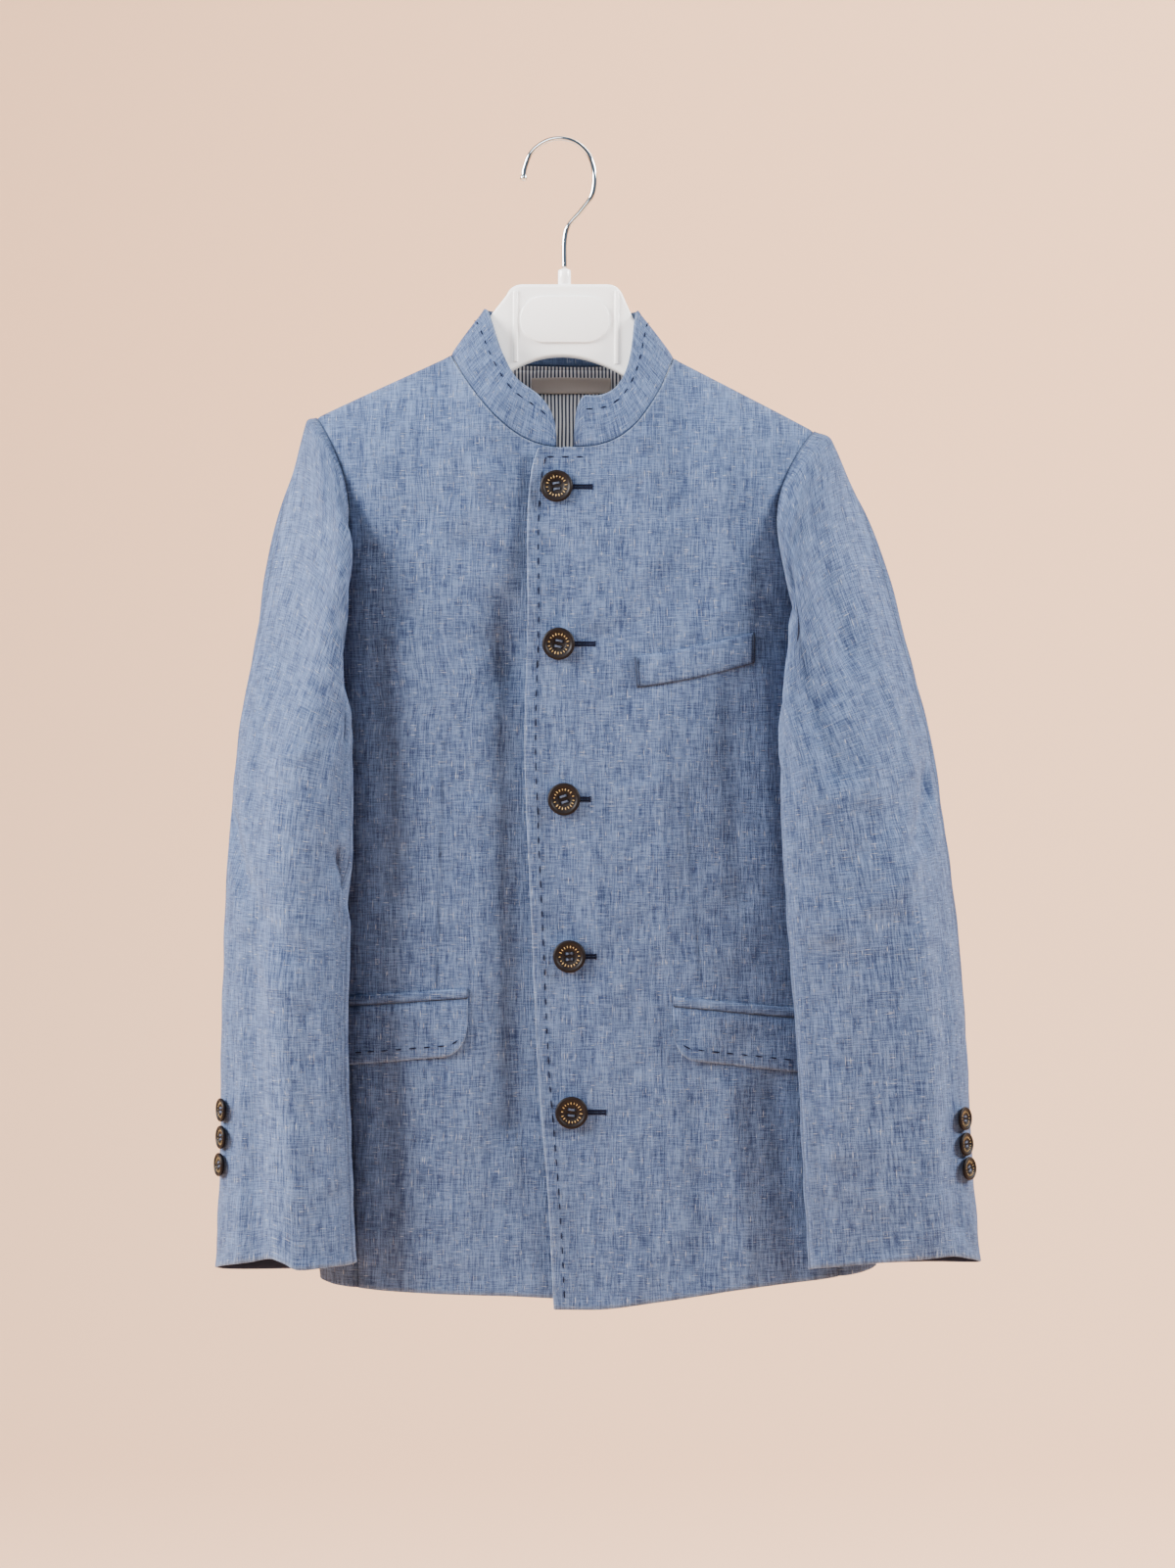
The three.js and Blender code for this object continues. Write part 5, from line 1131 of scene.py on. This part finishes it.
def hangerOutline():
    tipR, tipL = armhole["tip"]["right"][0] + 13, armhole["tip"]["left"][0] - 13
    inR, inL = neck["point"]["right"][0] + 2, neck["point"]["left"][0] - 2
    topR, topL = (neck["point"][s][1] - hanger["under"] - 1.4 for s in ("right", "left"))
    points = bend((29.8, -90), (36.8, -90), (39.8, -97), 8)
    points += [(46, -111)] + bend((60, -127), (66, topL), (inL + 8, armTop(inL + 8)), 6)
    points += [(tipL, armTop(tipL))] + bend((tipL, armTop(tipL)), (tipL + 4.5, armTop(tipL) - 6),
                                            (tipL + 1, armTop(tipL) - hanger["tip"]), 7)[1:]
    points += [(inL, topL - hanger["arm"])]
    points += bend((39.6, -146.3), (2.5, -124.9), (-28.8, -143.3), 20)
    points += [(inR, topR - hanger["arm"])]
    points += bend((tipR - 1, armTop(tipR) - hanger["tip"]), (tipR - 4.5, armTop(tipR) - 6),
                   (tipR, armTop(tipR)), 7)
    points += bend((inR - 8, armTop(inR - 8)), (-64, topR), (-58, -127), 6) + [(-44, -111)]
    points += bend((-33, -97), (-30, -90), (-23, -90), 8)
    return points


def plateObject(name, outline, front, back, bevel, segments, materials, nodes=()):
    bm = bmesh.new()
    verts = [bm.verts.new((x * mm, front * mm, z * mm)) for x, z in outline]
    cap = bm.faces.new(verts)
    made = bmesh.ops.extrude_face_region(bm, geom=[cap])
    moved = [g for g in made["geom"] if isinstance(g, bmesh.types.BMVert)]
    bmesh.ops.translate(bm, vec=(0, (back - front) * mm, 0), verts=moved)
    bmesh.ops.recalc_face_normals(bm, faces=bm.faces)
    rim = [e for e in bm.edges if abs(e.verts[0].co.y - e.verts[1].co.y) < 1e-6]
    bmesh.ops.bevel(bm, geom=rim, offset=bevel * mm, segments=segments, profile=0.5, affect="EDGES",
                    clamp_overlap=True)
    mesh = bpy.data.meshes.new(name)
    bm.to_mesh(mesh)
    bm.free()
    shadeSmooth(mesh)
    mesh.set_sharp_from_angle(angle=math.radians(40))
    return finishObject(newObject(name, mesh), materials, nodes)


plateObject("Hanger", hangerOutline(), -hanger["half"], hanger["half"], hanger["bevel"], hanger["segments"],
            [glowingPlastic], ("hanger_body",))
for k, (x, low) in enumerate(hanger["ribs"]):
    start, stop, high = x - hanger["ribHalf"], x + hanger["ribHalf"], hanger["ribTop"]
    rib = [(start, high), (stop, high), (stop, low), (start, low)]
    plateObject(f"Hanger_rib_{k + 1}", rib, -hanger["half"] - 1.0, -hanger["half"] + 0.6, 0.7, 3, [glowingPlastic],
                ())
left, right, top, bottom = hanger["plaque"]
radius, middle = (top - bottom) / 2, (top + bottom) / 2
arc = np.linspace(-math.pi / 2, math.pi / 2, 24)
stadium = [(right - radius + radius * math.cos(t), middle + radius * math.sin(t)) for t in arc]
stadium += [(left + radius - radius * math.cos(t), middle - radius * math.sin(t)) for t in arc]
plateObject("Hanger_plaque", stadium, -hanger["half"] - 1.5, -hanger["half"] + 0.2, 0.5, 3, [glowingPlastic],
            ("hanger_plaque",))
verts, faces = latheData(ferruleProfile, 32)
verts = (verts + np.array(hanger["ferrule"])) * mm
plainObject("Hanger_ferrule", verts, faces, [glowingPlastic], ("hanger_ferrule",))
wirePath = smoothPath([(x, 0, z) for x, z in hookPath], 150)
tubeObject("Hanger_hook", [wirePath], hanger["wire"], 20, [chrome], ("hanger_hook",))
ball = [(max(hanger["ball"] * math.sin(t), 0), -hanger["ball"] * math.cos(t))
        for t in np.linspace(0, math.pi, 15)]
verts, faces = latheData(ball, 24)
plainObject("Hook_ball", (verts + wirePath[0]) * mm, faces, [chrome], ())
print("hanger made")


# Repeats: little stitches and marks set along points


def stitchTree():
    tree = bpy.data.node_groups.new("stitchRow", "GeometryNodeTree")
    face = tree.interface
    face.new_socket("Geometry", in_out="INPUT", socket_type="NodeSocketGeometry")
    for title, value in (("Length", 0.004), ("Width", 0.0005), ("Height", 0.0004), ("Uneven", 0.15)):
        face.new_socket(title, in_out="INPUT", socket_type="NodeSocketFloat").default_value = value
    face.new_socket("Material", in_out="INPUT", socket_type="NodeSocketMaterial")
    face.new_socket("Geometry", in_out="OUTPUT", socket_type="NodeSocketGeometry")
    ins = tree.nodes.new("NodeGroupInput").outputs
    out = tree.nodes.new("NodeGroupOutput")
    bead = put(tree, "GeometryNodeMeshIcoSphere", None, {"Radius": 0.5, "Subdivisions": 2})
    along = put(tree, "GeometryNodeInputNamedAttribute", {"data_type": "FLOAT_VECTOR"}, {"Name": "along"})
    away = put(tree, "GeometryNodeInputNamedAttribute", {"data_type": "FLOAT_VECTOR"}, {"Name": "away"})
    first = put(tree, "FunctionNodeAlignRotationToVector", {"axis": "Z"}, {"Vector": away.outputs[0]})
    both = put(tree, "FunctionNodeAlignRotationToVector", {"axis": "X", "pivot_axis": "Z"},
               {"Rotation": first.outputs[0], "Vector": along.outputs[0]})
    chance = put(tree, "FunctionNodeRandomValue", {"data_type": "FLOAT"}, {"Seed": 7})
    spread = calc(tree, "MULTIPLY", calc(tree, "SUBTRACT", chance.outputs[1], 0.5), ins["Uneven"])
    length = calc(tree, "MULTIPLY", ins["Length"], calc(tree, "ADD", spread, 1.0))
    size = put(tree, "ShaderNodeCombineXYZ", None, {0: length, 1: ins["Width"], 2: ins["Height"]})
    rows = put(tree, "GeometryNodeInstanceOnPoints", None,
               {"Points": ins["Geometry"], "Instance": bead.outputs[0], "Rotation": both.outputs[0],
                "Scale": size.outputs[0]})
    real = put(tree, "GeometryNodeRealizeInstances", None, {0: rows.outputs[0]})
    paint = put(tree, "GeometryNodeSetMaterial", None,
                {"Geometry": real.outputs[0], "Material": ins["Material"]})
    tree.links.new(paint.outputs[0], out.inputs[0])
    return tree


stitches = stitchTree()


def stitchObject(name, at, along, away, size, material, slot="linen"):
    # One bead for each place; its size is length, width and height in millimetres, then the unevenness.
    mesh = bpy.data.meshes.new(name + " places")
    mesh.from_pydata((np.asarray(at) * mm).tolist(), [], [])
    for title, values in (("along", along), ("away", away)):
        data = mesh.attributes.new(title, "FLOAT_VECTOR", "POINT")
        data.data.foreach_set("vector", np.asarray(values, float).ravel())
    source = newObject(name + " places", mesh)
    modifier = source.modifiers.new("stitches", "NODES")
    modifier.node_group = stitches
    values = {"Length": size[0] * mm, "Width": size[1] * mm, "Height": size[2] * mm, "Uneven": size[3],
              "Material": material}
    for socket in stitches.interface.items_tree:
        if socket.in_out == "INPUT" and socket.name in values:
            modifier[socket.identifier] = values[socket.name]
    graph = bpy.context.evaluated_depsgraph_get()
    made = bpy.data.meshes.new_from_object(source.evaluated_get(graph), depsgraph=graph)
    made.name = name
    bpy.data.objects.remove(source)
    shadeSmooth(made)
    obj = newObject(name, made)
    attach(obj, "root")


def spaced(points, normals, pitch, first):
    # Even steps along a line: the places, the directions along it and those away from the cloth.
    run = np.concatenate([[0], np.cumsum(np.linalg.norm(np.diff(points, axis=0), axis=1))])
    at = np.arange(first, run[-1] - first * 0.5, pitch)

    def along(values, shift=0.0):
        return np.stack([np.interp(at + shift, run, values[:, k]) for k in range(3)], -1)
    return along(points), unit(along(points, 0.5) - along(points, -0.5)), along(normals)


def joined(parts):
    return [np.concatenate([part[k] for part in parts]) for k in range(3)]


# Pick stitches along the free edge, under the collar, on the collar and along the flaps.
pick = {"pitch": 9.0, "size": (4.7, 0.85, 0.85, 0.3), "inset": 6.6, "lift": 0.12, "top": -200.0,
        "hem": -716.0, "neckX": (-8, 15), "collarShare": 0.74}
runs = []
z = np.linspace(pick["top"], pick["hem"], 260)
runs.append(onCloth("left", placketX(z) + pick["inset"], z, np.full(z.shape, pick["lift"])))
x = np.linspace(*pick["neckX"], 20)
runs.append(onCloth("left", x, np.full(x.shape, pick["top"] - 0.5), np.full(x.shape, pick["lift"])))
row = int(len(shaped) * pick["collarShare"])
keep = slice(6, -6)
runs.append((shaped[row, keep] + collarNormal[row, keep] * 0.15, collarNormal[row, keep]))
for side in ("right", "left"):
    t = np.linspace(0.06, 0.98, 70)
    edge = 1 - pick["inset"] / pocket[side]["drop"]
    runs.append(flapPlaces(side, t, np.full(t.shape, edge), 0.15))
parts = [spaced(a, n, pick["pitch"], 3.0) for a, n in runs]
stitchObject("Pick_stitches", *joined(parts), pick["size"], thread)

# Sewn lines at the two ends of the welt.
parts = []
for u in (0.025, 0.975):
    v = np.linspace(0.04, 0.96, 20)
    parts.append(spaced(*weltPlaces(u, v, np.full(v.shape, 2.0)), 1.3, 0.6))
stitchObject("Welt_stitches", *joined(parts), (1.5, 0.5, 0.45, 0.2), thread)

# Buttons, each with its profile from the middle of the back to the middle of the face
frontButton = {"hole": 1.05, "spread": 1.8, "seat": 0.3, "ring": 5.9, "ringZ": 2.45,
               "mark": (1.5, 0.5, 0.2, 0.7),
               "profile": [(0, 0), (7.6, 0), (9.2, 0.6), (9.85, 1.5), (10, 2.2), (9.75, 2.9), (9.3, 3.3),
                           (8.7, 3.4), (8.1, 3.25), (7.5, 2.75), (7.1, 2.5), (5.0, 2.42), (4.7, 2.25),
                           (4.3, 1.95), (0, 1.85)]}
cuffButton = {"hole": 0.75, "spread": 1.25, "seat": 1.1, "ring": 4.3, "ringZ": 1.95,
              "mark": (1.0, 0.4, 0.2, 0.7),
              "profile": [(0, 0), (5.4, 0), (6.8, 0.5), (7.2, 1.2), (7.3, 1.7), (7.05, 2.35), (6.7, 2.65),
                          (6.2, 2.75), (5.7, 2.55), (5.3, 2.15), (5.1, 2.0), (3.6, 1.94), (3.35, 1.75),
                          (3.1, 1.55), (0, 1.5)]}
# Front buttons at (x, z); cuff buttons at an angle round the sleeve, and their shares of its length.
frontButtonPlaces = [(-1.2, -219.1), (0, -315.7), (3.3, -410.8), (6.6, -507.1), (7.9, -602.6)]
cuffButtonPlaces = {"right": (17, (0.817, 0.849, 0.881)), "left": (21, (0.823, 0.853, 0.883))}
buttonhole = {"from": 5.0, "ends": [20.1, 22.0, 19.0, 22.6, 28.5], "half": 0.85, "bar": 1.5, "pitch": 0.5,
              "stitch": (1.75, 0.55, 0.6, 0.2)}


def drilled(name, size):
    verts, faces = latheData(size["profile"], 72)
    disc = bpy.data.meshes.new(name)
    disc.from_pydata((verts * mm).tolist(), [], faces)
    drill, drillFaces = [], []
    for sx, sy in ((-1, -1), (1, -1), (1, 1), (-1, 1)):
        v, f = latheData([(0, -2), (size["hole"], -2), (size["hole"], 6), (0, 6)], 20)
        drillFaces += [tuple(i + sum(len(d) for d in drill) for i in face) for face in f]
        drill.append(v + np.array([sx * size["spread"], sy * size["spread"], 0]))
    cutter = bpy.data.meshes.new(name + " drill")
    cutter.from_pydata((np.concatenate(drill) * mm).tolist(), [], drillFaces)
    pair = []
    for mesh in (disc, cutter):
        obj = newObject(mesh.name, mesh)
        fixNormals(obj)
        pair.append(obj)
    cut = pair[0].modifiers.new("holes", "BOOLEAN")
    cut.operation, cut.solver, cut.object = "DIFFERENCE", "EXACT", pair[1]
    graph = bpy.context.evaluated_depsgraph_get()
    made = bpy.data.meshes.new_from_object(pair[0].evaluated_get(graph), depsgraph=graph)
    for obj in pair:
        bpy.data.objects.remove(obj)
    shadeSmooth(made)
    made.set_sharp_from_angle(angle=math.radians(45))
    return made


def facing(centre, normal, spin):
    # Places a button's face along the normal, turned by spin.
    n = Vector(normal).normalized()
    up = (Vector((0, 0, 1)) - n * n.z).normalized()
    across = up.cross(n)
    turn = Matrix.Rotation(spin, 3, n)
    basis = Matrix((turn @ across, turn @ up, n)).transposed().to_4x4()
    return Matrix.Translation(Vector(centre) * mm) @ basis


def placeButton(name, node, blank, size, centre, normal, spin):
    # Sets a button on the cloth with its thread, and gives the places of the marks on its ring.
    mesh = blank.copy()
    place = facing(centre, normal, spin)
    mesh.transform(place)
    finishObject(newObject(name, mesh), [horn], (node,))
    s, high = size["spread"], size["profile"][-1][1]
    for sy in (-s, s):
        for shift in (-0.3, 0.3):
            strand = [(-s, sy + shift, 0.4), (-s, sy + shift, high), (-s * 0.6, sy + shift, high + 0.35),
                      (s * 0.6, sy + shift, high + 0.35), (s, sy + shift, high), (s, sy + shift, 0.4)]
            threadRuns.append([np.array(place @ Vector(np.array(p) * mm)) / mm for p in strand])
    arcs = np.linspace(0.45, math.pi - 0.45, 8)
    turn = np.concatenate([arcs, arcs + math.pi, [0, math.pi]])
    ring = np.stack([np.cos(turn) * size["ring"], np.sin(turn) * size["ring"], 0 * turn + size["ringZ"]], -1)
    ringAlong = np.stack([np.cos(turn), np.sin(turn), 0 * turn], -1)
    flip = np.array(place.to_3x3())
    return (ring @ flip.T + np.array(place.translation) / mm, ringAlong @ flip.T,
            np.broadcast_to(flip[:, 2], ring.shape))


threadRuns, frontMarks, cuffMarks = [], [], []
blank = drilled("front button", frontButton)
spins = [0.12, -0.2, 0.32, 0.05, -0.1]
for i, (x, z) in enumerate(frontButtonPlaces):
    turn = np.arange(16) / 16 * 2 * math.pi
    rx = np.concatenate([[x], x + 5 * np.cos(turn), x + 10 * np.cos(turn)])
    rz = np.concatenate([[z], z + 5 * np.sin(turn), z + 10 * np.sin(turn)])
    ringAt, ringNormal = onCloth("left", rx, rz, np.zeros(rx.shape))
    normal = ringNormal.mean(0)
    normal /= np.linalg.norm(normal)
    seat = max(((ringAt - ringAt[0]) @ normal).max(), 0)
    centre = ringAt[0] + normal * (seat + frontButton["seat"])
    frontMarks.append(placeButton(f"Button_{i + 1}", f"button_front_{i + 1}", blank, frontButton, centre,
                                  normal, spins[i]))
blank = drilled("cuff button", cuffButton)
for side in ("right", "left"):
    degrees, heights = cuffButtonPlaces[side]
    for i, height in enumerate(heights):
        at, normal = sleeveAt(side, np.radians(np.array([degrees, degrees + 1.0])), np.array([height, 1.0]))
        centre = at[0, 0] + normal[0, 0] * cuffButton["seat"]
        cuffMarks.append(placeButton(f"Cuff_button_{side}_{i + 1}", f"button_cuff_{side}_{i + 1}", blank,
                                     cuffButton, centre, normal[0, 0], 0.2 * i))
tubeObject("Button_threads", threadRuns, 0.34, 8, [buttonThread], ())
stitchObject("Button_ring_marks", *joined(frontMarks), frontButton["mark"], bronze, "button")
stitchObject("Cuff_ring_marks", *joined(cuffMarks), cuffButton["mark"], bronze, "button")

# Buttonholes: two rows of short stitches, closed by a bar at the outer end.
parts = []
for (x, z), end in zip(frontButtonPlaces, buttonhole["ends"]):
    for row in (-1, 1):
        run = np.arange(x + buttonhole["from"], end, buttonhole["pitch"])
        at, away = onCloth("left", run, z + row * buttonhole["half"] + 0 * run, np.full(run.shape, 0.15))
        parts.append((at, np.broadcast_to([0.12 * row, 0, 1.0], at.shape), away))
    height = z + np.linspace(-buttonhole["bar"], buttonhole["bar"], 6)
    at, away = onCloth("left", np.full(6, end + 0.2), height, np.full(6, 0.3))
    parts.append((at, np.broadcast_to([1.0, 0, 0], at.shape), away))
stitchObject("Buttonhole_stitches", *joined(parts), buttonhole["stitch"], thread)
print("buttons and stitching made")
# Room, lights and camera
room = {"floor": -1.25, "wall": 4.2, "bend": 1.6, "width": 9.0, "near": -7.0, "height": 6.5}
sweep = [(room["near"], room["floor"]), (room["wall"] - room["bend"], room["floor"])]
sweep += [(room["wall"] - room["bend"] + room["bend"] * math.sin(t),
           room["floor"] + room["bend"] * (1 - math.cos(t))) for t in np.linspace(0.1, math.pi / 2, 14)]
sweep.append((room["wall"], room["height"]))
verts = [(x, y, z) for y, z in sweep for x in (-room["width"], room["width"])]
faces = [(2 * i, 2 * i + 1, 2 * i + 3, 2 * i + 2) for i in range(len(sweep) - 1)]
mesh = bpy.data.meshes.new("Backdrop")
mesh.from_pydata(verts, [], faces)
shadeSmooth(mesh)
backdrop = newObject("Backdrop", mesh)
mesh.materials.append(newMaterial("backdropPaint", {"Roughness": 0.9}, (0.85, 0.545, 0.35))[0])

world = bpy.data.worlds.new("room light")
bpy.context.scene.world = world
world.use_nodes = True
sky = world.node_tree.nodes["Background"]
sky.inputs["Color"].default_value = (0.6, 0.79, 1.0, 1)
sky.inputs["Strength"].default_value = 0.25


def areaLight(name, place, target, size, power, colour):
    light = bpy.data.lights.new(name, "AREA")
    light.shape, light.size, light.energy, light.color = "DISK", size, power, colour
    obj = newObject(name, light)
    obj.location = place
    obj.rotation_euler = (Vector(target) - Vector(place)).to_track_quat("-Z", "Y").to_euler()


areaLight("Key", (-2.35, -0.85, 0.8), (0, 0, -0.4), 1.5, 300, (1.0, 0.97, 0.94))
areaLight("Side", (2.4, -0.7, 0.9), (0, 0, -0.4), 1.0, 185, (1.0, 0.98, 0.96))
areaLight("Top", (-0.5, -1.9, 1.3), (0, 0, -0.3), 1.2, 30, (1.0, 0.99, 0.98))
areaLight("Back", (0.6, 2.2, 1.4), (0, 0, -0.4), 1.6, 30, (1.0, 0.97, 0.93))
areaLight("Wall wash", (2.0, 1.2, 2.2), (0.8, 4.2, -0.2), 2.0, 260, (1.0, 0.95, 0.88))

camera = bpy.data.cameras.new("Camera")
camera.lens, camera.sensor_width, camera.sensor_fit = 97.44, 36, "AUTO"
cameraObject = newObject("Camera", camera)
cameraObject.location = (0.0177, -2.65, -0.4015)
cameraObject.rotation_euler = (math.pi / 2, 0, 0)
bpy.context.scene.camera = cameraObject
